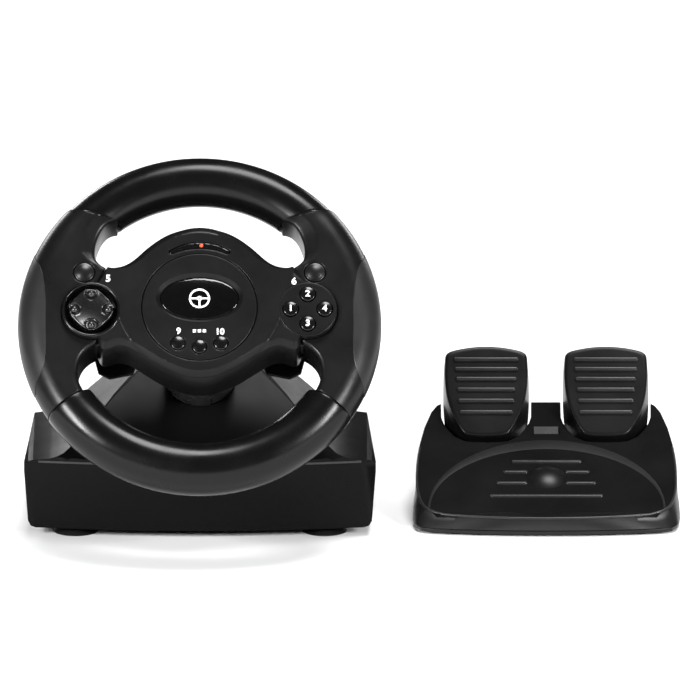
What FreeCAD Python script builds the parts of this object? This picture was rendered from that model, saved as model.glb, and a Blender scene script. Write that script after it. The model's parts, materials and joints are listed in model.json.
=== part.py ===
import FreeCAD, Part
import math
import os
import re
from FreeCAD import Vector, Rotation, Placement

# Racing wheel on its table base, with the pedal unit that belongs to it. Lengths in millimetres.
# Row frame: +X right, -Y towards the driver, +Z up, the floor at z = 0.
# Wheel frame: origin at the rim's centre, z along the steering axis towards the driver.

doc = FreeCAD.newDocument("RacingWheel")
sheet = doc.addObject("Spreadsheet::Sheet", "Dims")

DIMENSIONS = [
    # where the units stand
    ("wheel_x", -103.1, "wheel unit centre line"),
    ("pedal_x", 136.5, "pedal unit centre line"),
    ("front_y", -40.0, "front face of the table base"),
    ("pedal_y", -34.0, "front edge of the pedal unit"),
    ("hub_y", -2.0, "rim centre behind the base front face"),
    ("hub_z", 153.1, "rim centre above the floor"),
    ("axis_tilt", 52.5, "turn that leans the wheel frame, degrees"),
    # rim
    ("rim_radius", 107.0, "rim centre line radius"),
    ("rim_tube", 17.0, "upper grip tube radius"),
    ("grip_tube", 18.2, "lower grip tube radius"),
    ("rim_outer", 125.0, "outside radius of the spoke shells"),
    ("shell_half", 17.5, "half thickness of the spoke shells"),
    ("core_tube", 10.5, "rim core tube radius"),
    ("shell_wall", 2.6, "shell wall"),
    ("split_n", -4.0, "front and back shells part here"),
    ("insert_x", 104.9, "side inserts start at this width"),
    ("insert_top", 51.5, "side insert upper end"),
    ("insert_bottom", 45.6, "side insert lower end"),
    ("insert_depth", 1.6, "side insert thickness"),
    # hub
    ("hub_face", 22.0, "hub face above the rim plane"),
    ("hub_split", 14.0, "hub covers part here"),
    ("hub_back", 20.0, "hub back below the rim plane"),
    ("hub_bevel", 4.0, "hub face bevel"),
    ("pod_x", 74.5, "pod centre sideways"),
    ("pod_s", 3.4, "pod centre upwards"),
    ("panel_radius", 40.0, "hub panel radius"),
    ("panel_s", 5.2, "hub panel centre upwards"),
    ("panel_thick", 3.0, "hub panel thickness"),
    ("badge_half_x", 27.0, "badge half width"),
    ("badge_half_s", 15.3, "badge half height"),
    ("badge_s", 10.1, "badge centre upwards"),
    # controls
    ("pod_button", 5.2, "pod button radius"),
    ("pod_pitch_x", 11.7, "pod button pitch sideways"),
    ("pod_pitch_s", 11.0, "pod button pitch upwards"),
    ("thumb_button", 7.2, "thumb button radius"),
    ("thumb_x", 79.5, "thumb button sideways"),
    ("thumb_s", 32.8, "thumb button upwards"),
    ("centre_button", 4.5, "centre button radius"),
    ("button_gap", 0.25, "gap round a button"),
    ("button_travel", 1.0, "button stroke"),
    ("dish_radius", 18.6, "direction pad dish radius"),
    ("rocker_radius", 15.5, "direction pad radius"),
    ("rocker_pin", 1.5, "direction pad axle radius"),
    ("paddle_pin", 1.5, "paddle pin radius"),
    ("paddle_x", 39.0, "paddle hinge sideways"),
    ("paddle_n", -26.0, "paddle hinge behind the rim plane"),
    # column
    ("shaft_radius", 8.0, "steering shaft radius"),
    ("bush_outer", 12.0, "bearing bush outside radius"),
    ("run_gap", 0.05, "running clearance, radial"),
    ("tube_top", 23.5, "column tube radius at the wheel"),
    ("tube_foot", 25.0, "column tube radius at the base"),
    ("gear_module", 1.0, "gear module"),
    ("shaft_teeth", 40, "teeth on the shaft gear"),
    ("sensor_teeth", 16, "teeth on the sensor gear"),
    # table base
    ("base_half_top", 122.0, "half width at the parting line"),
    ("base_half_foot", 119.0, "half width at the bottom"),
    ("base_half_back", 115.5, "half width at the back"),
    ("base_depth", 136.0, "base depth"),
    ("base_split", 53.0, "parting line height"),
    ("base_slope", 30.0, "slope of the front deck, degrees"),
    ("base_bow", 650.0, "plan radius of the front face"),
    ("deck_thick", 2.0, "column shroud thickness"),
    # pedal unit
    ("pedal_gap_x", 41.5, "pedal centre sideways"),
    ("pedal_lean", 40.0, "pedal pad leans back, degrees"),
    ("axle_y", 112.0, "pedal axle behind the front edge"),
    ("axle_z", 22.0, "pedal axle height"),
    ("axle_radius", 2.5, "pedal axle radius"),
    ("dome_radius", 13.75, "heel dome radius"),
]

sheet.set("A1", "dimension")
sheet.set("B1", "value")
for index, (alias, value, note) in enumerate(DIMENSIONS):
    sheet.set("A%d" % (index + 2), note)
    sheet.set("B%d" % (index + 2), str(value))
    sheet.setAlias("B%d" % (index + 2), alias)
doc.recompute()
ALIASES = {alias for alias, value, note in DIMENSIONS}
D = {alias: float(sheet.get(alias)) for alias in ALIASES}

WHEEL = Placement(Vector(D["wheel_x"], D["front_y"] + D["hub_y"], D["hub_z"]),
                  Rotation(Vector(1, 0, 0), D["axis_tilt"]))
BASE = Placement(Vector(D["wheel_x"], D["front_y"], 0), Rotation())
PEDALS = Placement(Vector(D["pedal_x"], D["pedal_y"], 0), Rotation())
ALONG_X = Rotation(Vector(0, 1, 0), 90)
ALONG_Y = Rotation(Vector(1, 0, 0), -90)
UPRIGHT = Rotation()
nodes = []


def ex(text):
    """Point every spreadsheet name in an expression at the sheet."""
    return re.sub(r"[a-z_]+", lambda m: "Dims." + m.group(0) if m.group(0) in ALIASES else m.group(0),
                  str(text))


def solid(kind, name, sizes, at=(0, 0, 0), turn=UPRIGHT):
    obj = doc.addObject("Part::" + kind, name)
    for prop, text in sizes.items():
        obj.setExpression(prop, ex(text))
    obj.Placement = Placement(Vector(*at), turn)
    return obj


def rod(name, radius, height, at=(0, 0, 0), turn=UPRIGHT):
    return solid("Cylinder", name, {"Radius": radius, "Height": height}, at, turn)


def block(name, length, width, height, at=(0, 0, 0), turn=UPRIGHT):
    """A box whose corner is at `at`."""
    return solid("Box", name, {"Length": length, "Width": width, "Height": height}, at, turn)


def slab(name, length, width, height, at=(0, 0, 0)):
    """A box centred on `at` in X and Y, standing on it in Z."""
    return block(name, length, width, height, (at[0] - length / 2, at[1] - width / 2, at[2]))


def frustum(name, low, high, height, at=(0, 0, 0), turn=UPRIGHT):
    return solid("Cone", name, {"Radius1": low, "Radius2": high, "Height": height}, at, turn)


def ball(name, radius, at=(0, 0, 0)):
    return solid("Sphere", name, {"Radius": radius}, at)


def cut(name, base, tools):
    obj = doc.addObject("Part::Cut", name)
    obj.Base = base
    obj.Tool = tools[0] if len(tools) == 1 else join(name + "_tools", tools)
    return obj


def join(name, parts):
    obj = doc.addObject("Part::MultiFuse", name)
    obj.Shapes = parts
    return obj


def common(name, parts):
    obj = doc.addObject("Part::MultiCommon", name)
    obj.Shapes = parts
    return obj


def mirror(name, source, at, normal=(1, 0, 0)):
    obj = doc.addObject("Part::Mirroring", name)
    obj.Source = source
    obj.Base = Vector(*at)
    obj.Normal = Vector(*normal)
    return obj


def outline(name, points, height=0.0, plane="xy", curved=False):
    """A closed outline, straight-sided or as one spline."""
    lift = {"xy": lambda a, b: Vector(a, b, height), "xz": lambda a, b: Vector(a, height, b),
            "yz": lambda a, b: Vector(height, a, b)}[plane]
    pts = [lift(a, b) for a, b in points]
    obj = doc.addObject("Part::Feature", name)
    if curved:
        curve = Part.BSplineCurve()
        curve.interpolate(Points=pts, PeriodicFlag=True)
        obj.Shape = Part.Wire([curve.toShape()])
    else:
        obj.Shape = Part.makePolygon(pts + [pts[0]])
    return obj


def extrude(name, wire, direction, length, back=0.0, taper=0.0):
    obj = doc.addObject("Part::Extrusion", name)
    obj.Base = wire
    obj.DirMode = "Custom"
    obj.Dir = Vector(*direction)
    obj.LengthFwd = length
    obj.LengthRev = back
    obj.TaperAngle = taper
    obj.Solid = True
    return obj


def loft(name, wires, ruled=True):
    obj = doc.addObject("Part::Loft", name)
    obj.Sections = wires
    obj.Solid = True
    obj.Ruled = ruled
    return obj


def publish(obj, node, placement=None):
    """Give a finished sub-part its own label and place."""
    if placement is not None:
        obj.Placement = placement
    obj.Label = node
    nodes.append(obj)
    return obj


def arc(centre, radius, start, end, steps):
    """Points on an arc, angles in degrees."""
    out = []
    for i in range(steps + 1):
        angle = math.radians(start + (end - start) * i / steps)
        out.append((centre[0] + radius * math.cos(angle), centre[1] + radius * math.sin(angle)))
    return out


def flip(points):
    return [(-a, b) for a, b in reversed(points)]


# ---------------------------------------------------------------- sketch-based bodies

def body_pad(node, draw, length, placement, plane="XY_Plane", pocket=None, hole_depth=0.0):
    """A PartDesign body: one sketch padded, and a second sketch pocketed into it if given."""
    body = doc.addObject("PartDesign::Body", node + "_body")
    sketch = body.newObject("Sketcher::SketchObject", node + "_outline")
    origin = [f for f in body.Origin.OriginFeatures if f.Role == plane][0]
    sketch.AttachmentSupport = [(origin, "")]
    sketch.MapMode = "FlatFace"
    draw(sketch)
    pad = body.newObject("PartDesign::Pad", node + "_pad")
    pad.Profile = sketch
    pad.setExpression("Length", ex(length))
    body.Tip = pad
    if pocket is not None:
        holes = body.newObject("Sketcher::SketchObject", node + "_holes")
        holes.AttachmentSupport = [(origin, "")]
        holes.MapMode = "FlatFace"
        pocket(holes)
        dig = body.newObject("PartDesign::Pocket", node + "_pocket")
        dig.Profile = holes
        dig.Reversed = True
        dig.Type = "Length"
        dig.Length = hole_depth
        body.Tip = dig
    return publish(body, node, placement)


def draw_box(sketch, x0, y0, x1, y1):
    corners = [Vector(x0, y0, 0), Vector(x1, y0, 0), Vector(x1, y1, 0), Vector(x0, y1, 0)]
    for i in range(4):
        sketch.addGeometry(Part.LineSegment(corners[i], corners[(i + 1) % 4]), False)


# ---------------------------------------------------------------- rim

def ring(name, tube, start=0.0, sweep=360.0):
    torus = solid("Torus", name, {"Radius1": "rim_radius", "Radius2": tube})
    torus.Angle3 = sweep
    torus.Placement = Placement(Vector(0, 0, 0), Rotation(Vector(0, 0, 1), start))
    return torus


def tread_disc(name, radius, half):
    """A disc with a fully rounded edge."""
    flat = rod(name + "_flat", "%s - (%s)" % (radius, half), "2 * (%s)" % half)
    flat.setExpression("Placement.Base.z", ex("-(%s)" % half))
    edge = solid("Torus", name + "_edge", {"Radius1": "%s - (%s)" % (radius, half), "Radius2": half})
    return join(name, [flat, edge])


SEAM_UP = (74.3, 77.5)
SEAM_DIR = (0.962, 0.272)
seam_in = (57.2, 72.6)
seam_out = (SEAM_UP[0] + 62 * SEAM_DIR[0], SEAM_UP[1] + 62 * SEAM_DIR[1])
lower_in = (74.4, -48.3)
lower_out = (74.4 + 60 * 0.8387, -48.3 - 60 * 0.5446)

rim_core_ring = ring("rim_core_ring", "core_tube")
core_arm = block("core_arm", 72, 16, 9, (28, -2.0, -9))
core_arm_left = block("core_arm_left", 72, 16, 9, (-100, -2.0, -9))
core_plate = rod("core_plate", 30, 9, (0, 0, -9))
core_boss = rod("core_boss", 16, 24, (0, 0, -29))
core_bore = rod("core_bore", "shaft_radius", 40, (0, 0, -35))
core_all = join("core_all", [rim_core_ring, core_arm, core_arm_left, core_plate, core_boss])
publish(cut("rim_core_cut", core_all, [core_bore]), "rim_core", WHEEL)

upper_zone = extrude("upper_zone", outline("upper_zone_line", [
    (-seam_out[0], seam_out[1] + 0.3), (-seam_in[0], seam_in[1] + 0.3), (0, 40),
    (seam_in[0], seam_in[1] + 0.3), (seam_out[0], seam_out[1] + 0.3), (134, 150), (-134, 150)]), (0, 0, 1),
                     30, 30)
upper_tube = cut("upper_tube", ring("upper_outer", "rim_tube", 30, 120),
                 [ring("upper_inner", "core_tube + 0.05", 20, 140)])
publish(common("upper_grip_common", [upper_tube, upper_zone]), "upper_grip", WHEEL)
publish(cut("lower_grip_cut", ring("lower_outer", "grip_tube", 213.3, 113.4),
            [ring("lower_inner", "core_tube + 0.05", 205, 130)]), "lower_grip", WHEEL)

# spoke shells, right side first
pod = (D["pod_x"], D["pod_s"])
opening_low = [(80.5, -49.8), (82.8, -48.9), (83.6, -45), (83.6, -38), (82.8, -31.9), (81, -26.8),
               (78.1, -23.2)]
opening_high = [(68.3, 38.8), (71.1, 42), (72.1, 46.5), (71.6, 52.4), (70.4, 57.4), (68.7, 61.8),
                (66.6, 66.6),
                (63.4, 69.8), (60.2, 71.4)]
shell_line = ([seam_in, seam_out, (134, 70), (134, -60), lower_out, lower_in] + opening_low
              + arc(pod, 20.8, -102.5, 99.7, 24) + [(64.7, 36.5)] + opening_high)
shell_wire = outline("shell_wire", shell_line)
cavity_wire = outline("cavity_wire", [(82, 66), (104, 79), (134, 70), (134, -60), (112, -66), (86.8, -49.8),
                                      (86.6, -38), (85.5, -30), (82, -24)] + arc(pod, 23.6, -66, 66, 16)
                      + [(88, 42), (75.5, 44.5), (75, 54), (72, 64), (70, 68)])

insert_zone = block("insert_zone", 30, "insert_top + insert_bottom", 18.5,
                    (D["insert_x"], -D["insert_bottom"], -1))
insert_room = block("insert_room", 30, "insert_top + insert_bottom + 0.4", 19.7,
                    (D["insert_x"] - 0.2, -D["insert_bottom"] - 0.2, -1.2))
insert_skin = cut("insert_skin", tread_disc("insert_outer", "rim_outer", "shell_half"),
                  [tread_disc("insert_inner", "rim_outer - insert_depth", "shell_half - insert_depth")])
insert_cutter = cut("insert_cutter", rod("insert_ring", 140, 60, (0, 0, -30)),
                    [tread_disc("insert_bed", "rim_outer - insert_depth - 0.1",
                                "shell_half - insert_depth - 0.1")])
right_insert = publish(common("right_insert_common", [insert_skin, insert_zone]), "right_side_insert",
                       WHEEL)


def spoke_half(node, low, high, front):
    shape = extrude(node + "_block", shell_wire, (0, 0, 1), high, -low)
    room = extrude(node + "_room", cavity_wire, (0, 0, 1), high, -low)
    skin = common(node + "_skin", [shape, tread_disc(node + "_disc", "rim_outer", "shell_half")])
    hollow = common(node + "_hollow", [room, tread_disc(node + "_core", "rim_outer - shell_wall - 1.8",
                                                        "shell_half - shell_wall - 1.8")])
    tools = [hollow, ring(node + "_tunnel", "core_tube + 0.2"),
             block(node + "_slot", 62, 17, 9.6, (44, -2.5, -9.3))]
    if front:
        tools.append(common(node + "_recess", [insert_cutter, insert_room]))
        tools.append(rod(node + "_thumb", "thumb_button + button_gap", 30, (D["thumb_x"], D["thumb_s"], 0)))
        tools.append(rod(node + "_thumb_well", "thumb_button + 1.7", 9.5,
                         (D["thumb_x"], D["thumb_s"], 5.2)))
    return cut(node + "_cut", skin, tools)


right_front = publish(spoke_half("right_spoke_front", D["split_n"], 20, True), "right_spoke_front", WHEEL)
right_back = publish(spoke_half("right_spoke_back", -20, D["split_n"] - 0.1, False), "right_spoke_back",
                     WHEEL)
MIRROR_AT = (D["wheel_x"], 0, 0)
publish(mirror("left_front_mirror", right_front, MIRROR_AT), "left_spoke_front")
publish(mirror("left_back_mirror", right_back, MIRROR_AT), "left_spoke_back")
publish(mirror("left_insert_mirror", right_insert, MIRROR_AT), "left_side_insert")

# ---------------------------------------------------------------- hub

hub_half = ([(7, 65.1), (13.3, 63.3), (19.5, 61.2), (25, 58.5), (31.5, 54.0), (37, 49.4), (45, 41.8),
             (50, 38.0), (55, 36), (60, 35.6), (64.3, 36.1)] + arc(pod, 20.4, 99.7, -102.5, 30)
            + [(67, -24.2), (61.5, -23.2), (56.1, -22.3), (49, -24), (35.5, -32.2), (25, -38.6),
               (14, -43.4),
               (7, -45.4)])
hub_line = [(0, 65.7)] + hub_half + [(0, -46)] + flip(hub_half)
hub_wire = outline("hub_wire", hub_line)
inner_half = ([(7, 60.4), (12.6, 58.8), (18.2, 56.9), (23.2, 54.3), (29.5, 50), (35, 45.6), (43, 38.4),
               (49, 34.6),
               (55, 32.4), (61, 32)] + arc(pod, 17.6, 99.7, -102.5, 30)
              + [(62, -19.8), (56, -18.8), (50, -20), (43.2, -23.6), (33.4, -29.2), (23.6, -35.2),
                 (13, -39.7),
                 (6.6, -41.6)])
inner_line = [(0, 61)] + inner_half + [(0, -42.3)] + flip(inner_half)
inner_wire = outline("inner_wire", inner_line)
face_half = ([(7, 59.9), (12.3, 58.2), (17.9, 56.2), (22.9, 53.7), (29, 49.4), (34.5, 45.0), (42.5, 37.8),
              (48.8, 33.9),
              (54.6, 31.9), (60.5, 31.6)] + arc(pod, 20.3, 114, -117, 30)
             + [(64.8, -18.4), (58.7, -17.7), (53, -18.4), (47.6, -20.2), (33, -29), (23, -35.1),
                (12.6, -39.7),
                (6.4, -41.7)])
face_line = [(0, 60.5)] + face_half + [(0, -42.3)] + flip(face_half)
face_wire = outline("face_wire", face_line)

side_rim = extrude("side_rim", hub_wire, (0, 0, 1), D["hub_face"] - D["hub_bevel"], -D["hub_split"])
bevel = loft("bevel", [outline("bevel_low", hub_line, D["hub_face"] - D["hub_bevel"]),
                       outline("bevel_top", face_line, D["hub_face"])])
hub_shell = join("hub_shell", [side_rim, bevel])
cover_room = extrude("cover_room", inner_wire, (0, 0, 1), D["hub_face"] - 3.5, -(D["hub_split"] - 1))
led_slot_line = ([(-20.9, 44.8), (-20.0, 46.9)] + [(-14, 49.9), (-7, 51.6), (0, 52.2), (7, 51.6),
                                                   (14, 49.9)]
                 + [(20.0, 46.9), (20.9, 44.8)] + [(14, 47.2), (7, 48.9), (0, 49.5), (-7, 48.9),
                                                   (-14, 47.2)])
led_slot = extrude("led_slot", outline("led_slot_line", led_slot_line), (0, 0, 1), 25, -20.8)
cover_tools = [
    cover_room, led_slot,
    rod("panel_seat", "panel_radius + 0.3", 6, (0, D["panel_s"], D["hub_face"] - D["panel_thick"] - 0.1)),
    rod("panel_hole", "panel_radius - 2.6", 20, (0, D["panel_s"], 8)),
    rod("status_hole", 1.7, 6, (0, 50.85, 17)),
    rod("left_pod_hole", "dish_radius + 0.15", 30, (-pod[0], pod[1], 8)),
    rod("right_pod_hole", "dish_radius + 0.15", 30, (pod[0], pod[1], 8)),
]
publish(cut("hub_front_cut", hub_shell, cover_tools), "hub_front_cover", WHEEL)

back_block = extrude("back_block", hub_wire, (0, 0, 1), D["hub_split"] - 0.1, D["hub_back"])
back_room = extrude("back_room", inner_wire, (0, 0, 1), D["hub_split"] + 1, D["hub_back"] - 3)
paddle_lug = block("paddle_lug", 6, 5, 12, (D["paddle_x"] - 3, 9, -29.5))
paddle_lug_low = block("paddle_lug_low", 6, 5, 12, (D["paddle_x"] - 3, -22, -29.5))
paddle_lug_left = block("paddle_lug_left", 6, 5, 12, (-D["paddle_x"] - 3, 9, -29.5))
paddle_lug_left_low = block("paddle_lug_left_low", 6, 5, 12, (-D["paddle_x"] - 3, -22, -29.5))
back_solid = join("back_solid", [cut("back_tub", back_block, [back_room]), paddle_lug, paddle_lug_low,
                                 paddle_lug_left, paddle_lug_left_low])
PIN_AT = (D["paddle_x"], -23, D["paddle_n"])
PIN_LEFT = (-D["paddle_x"], -23, D["paddle_n"])
back_tools = [rod("back_bore", 16.2, 40, (0, 0, -40)), rod("lug_bore", "paddle_pin", 44, PIN_AT, ALONG_Y),
              rod("lug_bore_left", "paddle_pin", 44, PIN_LEFT, ALONG_Y),
              block("arm_slot", 60, 17, 9.6, (45, -2.5, -9.3)), block("arm_slot_left", 60, 17, 9.6,
                                                                      (-105, -2.5, -9.3))]
for i, side in enumerate((-1, 1)):
    back_tools.append(rod("back_pod_hole_%d" % i, "dish_radius + 0.15", 8, (side * pod[0], pod[1], 9)))
for i, (x, s) in enumerate(((24, 44), (-24, 44), (24, -24), (-24, -24))):
    back_tools.append(rod("hub_screw_hole_%d" % i, 1.8, 12, (x, s, -24)))
    back_tools.append(rod("hub_screw_sink_%d" % i, 3.3, 2.2, (x, s, -20.5)))
publish(cut("hub_back_cut", back_solid, back_tools), "hub_back_cover", WHEEL)

screws = []
for i, (x, s) in enumerate(((24, 44), (-24, 44), (24, -24), (-24, -24))):
    screws.append(join("hub_screw_%d" % i, [rod("hub_screw_head_%d" % i, 3.1, 1.6, (x, s, -20.0)),
                                            rod("hub_screw_stem_%d" % i, 1.6, 30, (x, s, -19.5))]))
publish(join("hub_screws_all", screws), "hub_screws", WHEEL)
publish(join("paddle_pins_all",
             [rod("paddle_pin_right", "paddle_pin", 37.5, (PIN_AT[0], -22.5, PIN_AT[2]), ALONG_Y),
                                 rod("paddle_pin_left", "paddle_pin", 37.5,
                                     (PIN_LEFT[0], -22.5, PIN_LEFT[2]), ALONG_Y)]),
        "paddle_pins", WHEEL)

# hub panel, badge, status lamp
centre_spots = ((-14.8, -21.9), (0.0, -24.6), (14.8, -21.9))


def ellipse_rod(name, half_x, half_s, height, at):
    body = doc.addObject("Part::Ellipse", name + "_line")
    body.MajorRadius = half_x
    body.MinorRadius = half_s
    body.Placement = Placement(Vector(*at), Rotation())
    return extrude(name, body, (0, 0, 1), height)


badge_seat = ellipse_rod("badge_seat", D["badge_half_x"] + 0.2, D["badge_half_s"] + 0.2, 5,
                         (0, D["badge_s"], 20.7))
panel_tools = [badge_seat] + [rod("centre_hole_%d" % i, "centre_button + button_gap", 10, (x, s, 16))
                              for i, (x, s) in enumerate(centre_spots)]
panel_disc = rod("panel_disc", "panel_radius", "panel_thick",
                 (0, D["panel_s"], D["hub_face"] - D["panel_thick"]))
panel_back = rod("panel_back", "panel_radius - 3", 2,
                 (0, D["panel_s"], D["hub_face"] - D["panel_thick"] - 1.5))
publish(cut("hub_panel_cut", join("panel_solid", [panel_disc, panel_back]), panel_tools), "hub_panel",
        WHEEL)


def draw_badge(sketch):
    sketch.addGeometry(Part.Ellipse(Vector(0, 0, 0), D["badge_half_x"], D["badge_half_s"]), False)


body_pad("badge_lens", draw_badge, 1.0,
         WHEEL.multiply(Placement(Vector(0, D["badge_s"], 20.75), Rotation())))

window_line = ([(-20.6, 44.9), (-19.9, 46.7)] + [(-14, 49.6), (-7, 51.3), (0, 51.9), (7, 51.3), (14, 49.6)]
               + [(19.9, 46.7), (20.6, 44.9)] + [(14, 47.5), (7, 49.2), (0, 49.8), (-7, 49.2), (-14, 47.5)])
window = extrude("window_block", outline("window_line", window_line), (0, 0, 1), 21.8, -20.85)
publish(cut("led_window_cut", window, [rod("window_hole", 1.0, 6, (0, 50.85, 18))]), "led_window", WHEEL)
publish(join("status_led_join",
             [rod("led_stem", 0.9, 7.9, (0, 50.85, 14)), rod("led_base", 1.6, 3, (0, 50.85, 14))]),
        "status_led", WHEEL)


# ---------------------------------------------------------------- buttons

def button(node, radius, x, s, flange_top, tip, foot, flange=1.1):
    """A domed cap with a flange that stops under the panel and a stem that reaches the switch."""
    low = flange_top - 1.2
    cap = common(node + "_cap", [rod(node + "_side", radius, tip - low, (x, s, low)),
                                 ball(node + "_dome", 2.2 * D[radius], (x, s, tip - 2.2 * D[radius]))])
    flange = rod(node + "_flange", "%s + %s" % (radius, flange), 1.2, (x, s, low))
    stem = rod(node + "_stem", 2, low - foot + 0.5, (x, s, foot))
    return publish(join(node + "_join", [cap, flange, stem]), node, WHEEL)


BOARD_TOP = 9.6
FREE = D["button_travel"] + 0.3
for i, node in enumerate(("button_9", "button_mode", "button_10")):
    x, s = centre_spots[i]
    button(node, "centre_button", x, s, 17.45, 23.6, BOARD_TOP + FREE)
step_x = D["pod_pitch_x"]
step_s = D["pod_pitch_s"]
pod_spots = {"button_1": (-step_x, 0), "button_2": (0, step_s), "button_3": (0, -step_s),
             "button_4": (step_x, 0)}
for node, (dx, ds) in pod_spots.items():
    button(node, "pod_button", pod[0] + dx, pod[1] + ds, 18.35, 24.0, BOARD_TOP + FREE, 0.5)
for node, side in (("button_5", -1), ("button_6", 1)):
    button(node, "thumb_button", side * D["thumb_x"], D["thumb_s"], 14.6, 19.4, BOARD_TOP + FREE)

pod_tools = []
for node, (dx, ds) in pod_spots.items():
    pod_tools.append(rod(node + "_hole", "pod_button + button_gap", 30, (pod[0] + dx, pod[1] + ds, 4)))
pod_plate = rod("pod_plate", "dish_radius", 2.4, (pod[0], pod[1], D["hub_face"] - 3.6))
pod_skirt = cut("pod_skirt", rod("pod_skirt_out", "dish_radius", 9, (pod[0], pod[1], 9.8)),
                [rod("pod_skirt_in", "dish_radius - 0.9", 12, (pod[0], pod[1], 8))])
publish(cut("button_pod_cut", join("pod_solid", [pod_plate, pod_skirt]), pod_tools), "button_pod", WHEEL)

boards = [rod("board_centre", 29.5, 1.6, (0, -1.5, 8)), rod("board_pod", 16.6, 1.6, (pod[0], pod[1], 8))]
for i, side in enumerate((1, -1)):
    boards.append(rod("board_thumb_%d" % i, "thumb_button - 0.3", 1.6,
                      (side * D["thumb_x"], D["thumb_s"], 2.9)))
    boards.append(rod("thumb_switch_%d" % i, 3, BOARD_TOP - 4.5, (side * D["thumb_x"], D["thumb_s"], 4.5)))
publish(join("boards_all", boards), "button_boards", WHEEL)

# direction pad: dish, cross axle and rocker
dish_block = rod("dish_block", "dish_radius", 12.4, (-pod[0], pod[1], 9.3))
dish_bowl = frustum("dish_bowl", 16.6, 18.1, 6.5, (-pod[0], pod[1], 15.7))
dish_under = rod("dish_under", "dish_radius - 1.2", 4.5, (-pod[0], pod[1], 9.2))
dish_hole = rod("dish_hole", 8.5, 20, (-pod[0], pod[1], 5))
dish_lugs = [block("dish_lug_up", 6, 2.2, 5, (-pod[0] - 3, pod[1] + 8.8, 9.6)),
             block("dish_lug_low", 6, 2.2, 5, (-pod[0] - 3, pod[1] - 11, 9.6))]
PIVOT_N = 12.2
dish_solid = join("dish_solid",
                  [cut("dish_ring", dish_block, [dish_bowl, dish_under, dish_hole])] + dish_lugs)
lug_hole = rod("dish_lug_bore", "rocker_pin + run_gap", 30, (-pod[0], pod[1] - 15, PIVOT_N), ALONG_Y)
lug_trim = cut("lug_trim", rod("lug_trim_out", 30, 30, (-pod[0], pod[1], 0)),
               [rod("lug_trim_in", "dish_radius", 40, (-pod[0], pod[1], -5))])
publish(cut("dpad_dish_cut", dish_solid, [lug_hole, lug_trim]), "dpad_dish", WHEEL)
publish(join("dpad_pivot_join",
             [rod("pivot_s_axle", "rocker_pin", 21.6, (-pod[0], pod[1] - 10.8, PIVOT_N), ALONG_Y),
                                 rod("pivot_x_axle", "rocker_pin", 13.6, (-pod[0] - 6.8, pod[1], PIVOT_N),
                                     ALONG_X),
                                 slab("pivot_block", 5, 5, 4.4, (-pod[0], pod[1], PIVOT_N - 2.2))]),
        "dpad_pivot", WHEEL)
rocker_line = []
for i in range(8):
    for swing in (-14.5, 14.5):
        angle = math.radians(45 * i + swing)
        reach = D["rocker_radius"] if i % 2 == 0 else D["rocker_radius"] * 0.93
        rocker_line.append((-pod[0] + reach * math.cos(angle), pod[1] + reach * math.sin(angle)))
rocker_plate = extrude("rocker_plate", outline("rocker_line", rocker_line), (0, 0, 1), 22.8, -17.6)
rocker_bowl = ball("rocker_bowl", 30, (-pod[0], pod[1], 51.6))
rocker_bumps = []
for i in range(4):
    angle = math.radians(90 * i)
    rocker_bumps.append(ball("rocker_bump_%d" % i, 2.4, (-pod[0] + 10.6 * math.cos(angle),
                                                        pod[1] + 10.6 * math.sin(angle), 21.6)))
rocker_lugs = [block("rocker_lug_right", 2.3, 5, 8, (-pod[0] + 4.5, pod[1] - 2.5, 9.9)),
               block("rocker_lug_left", 2.3, 5, 8, (-pod[0] - 6.8, pod[1] - 2.5, 9.9))]
rocker_solid = join("rocker_solid",
                    [cut("rocker_top", rocker_plate, [rocker_bowl])] + rocker_bumps + rocker_lugs)
publish(cut("dpad_rocker_cut", rocker_solid,
            [rod("rocker_bore", "rocker_pin + run_gap", 30, (-pod[0] - 15, pod[1], PIVOT_N), ALONG_X)]),
        "dpad_rocker", WHEEL)

# shift paddles
paddle_wire = outline("paddle_wire", [(36.5, 8.6), (36.5, -16.4), (43.2, -16.4), (46, -24.5), (62, -28),
                                      (70, -24), (73.5, -10),
                                      (73.5, 6), (68, 15), (52, 16.5), (44, 8.6)])
paddle_blade = extrude("paddle_blade", paddle_wire, (0, 0, 1), -26.8, 29.8)
paddle_barrel = rod("paddle_barrel", 2.9, 25.2, (D["paddle_x"], -16.6, D["paddle_n"]), ALONG_Y)
paddle_rib = block("paddle_rib", 30, 2, 2.2, (40, -5, -31.6))
right_paddle = publish(cut("right_paddle_cut",
                           join("right_paddle_solid", [paddle_blade, paddle_barrel, paddle_rib]),
                           [rod("paddle_bore", "paddle_pin + run_gap", 60,
                                (D["paddle_x"], -30, D["paddle_n"]), ALONG_Y)]),
                       "right_paddle", WHEEL)
publish(mirror("left_paddle_mirror", right_paddle, MIRROR_AT), "left_paddle")

# ---------------------------------------------------------------- column

shaft_solid = join("shaft_solid", [rod("shaft_rod", "shaft_radius", 146, (0, 0, -146)),
                                   rod("shaft_collar", 11, 3, (0, 0, -34.5))])
publish(shaft_solid, "steering_shaft", WHEEL)

tube_cone = frustum("tube_cone", "tube_foot", "tube_top", 78, (0, 0, -112))
tube_room = rod("tube_room", 19.5, 70, (0, 0, -113))
tube_bore = rod("tube_bore", "bush_outer", 80, (0, 0, -100))
publish(cut("column_tube_cut", tube_cone, [tube_room, tube_bore]), "column_tube", WHEEL)


def bush(node, n_low, length):
    body = cut(node + "_cut", rod(node + "_out", "bush_outer", length, (0, 0, n_low)),
               [rod(node + "_in", "shaft_radius + run_gap", length + 4, (0, 0, n_low - 2))])
    return publish(body, node, WHEEL)


bush("front_bearing", -41, 5)
bush("rear_bearing", -142, 6)

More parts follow.
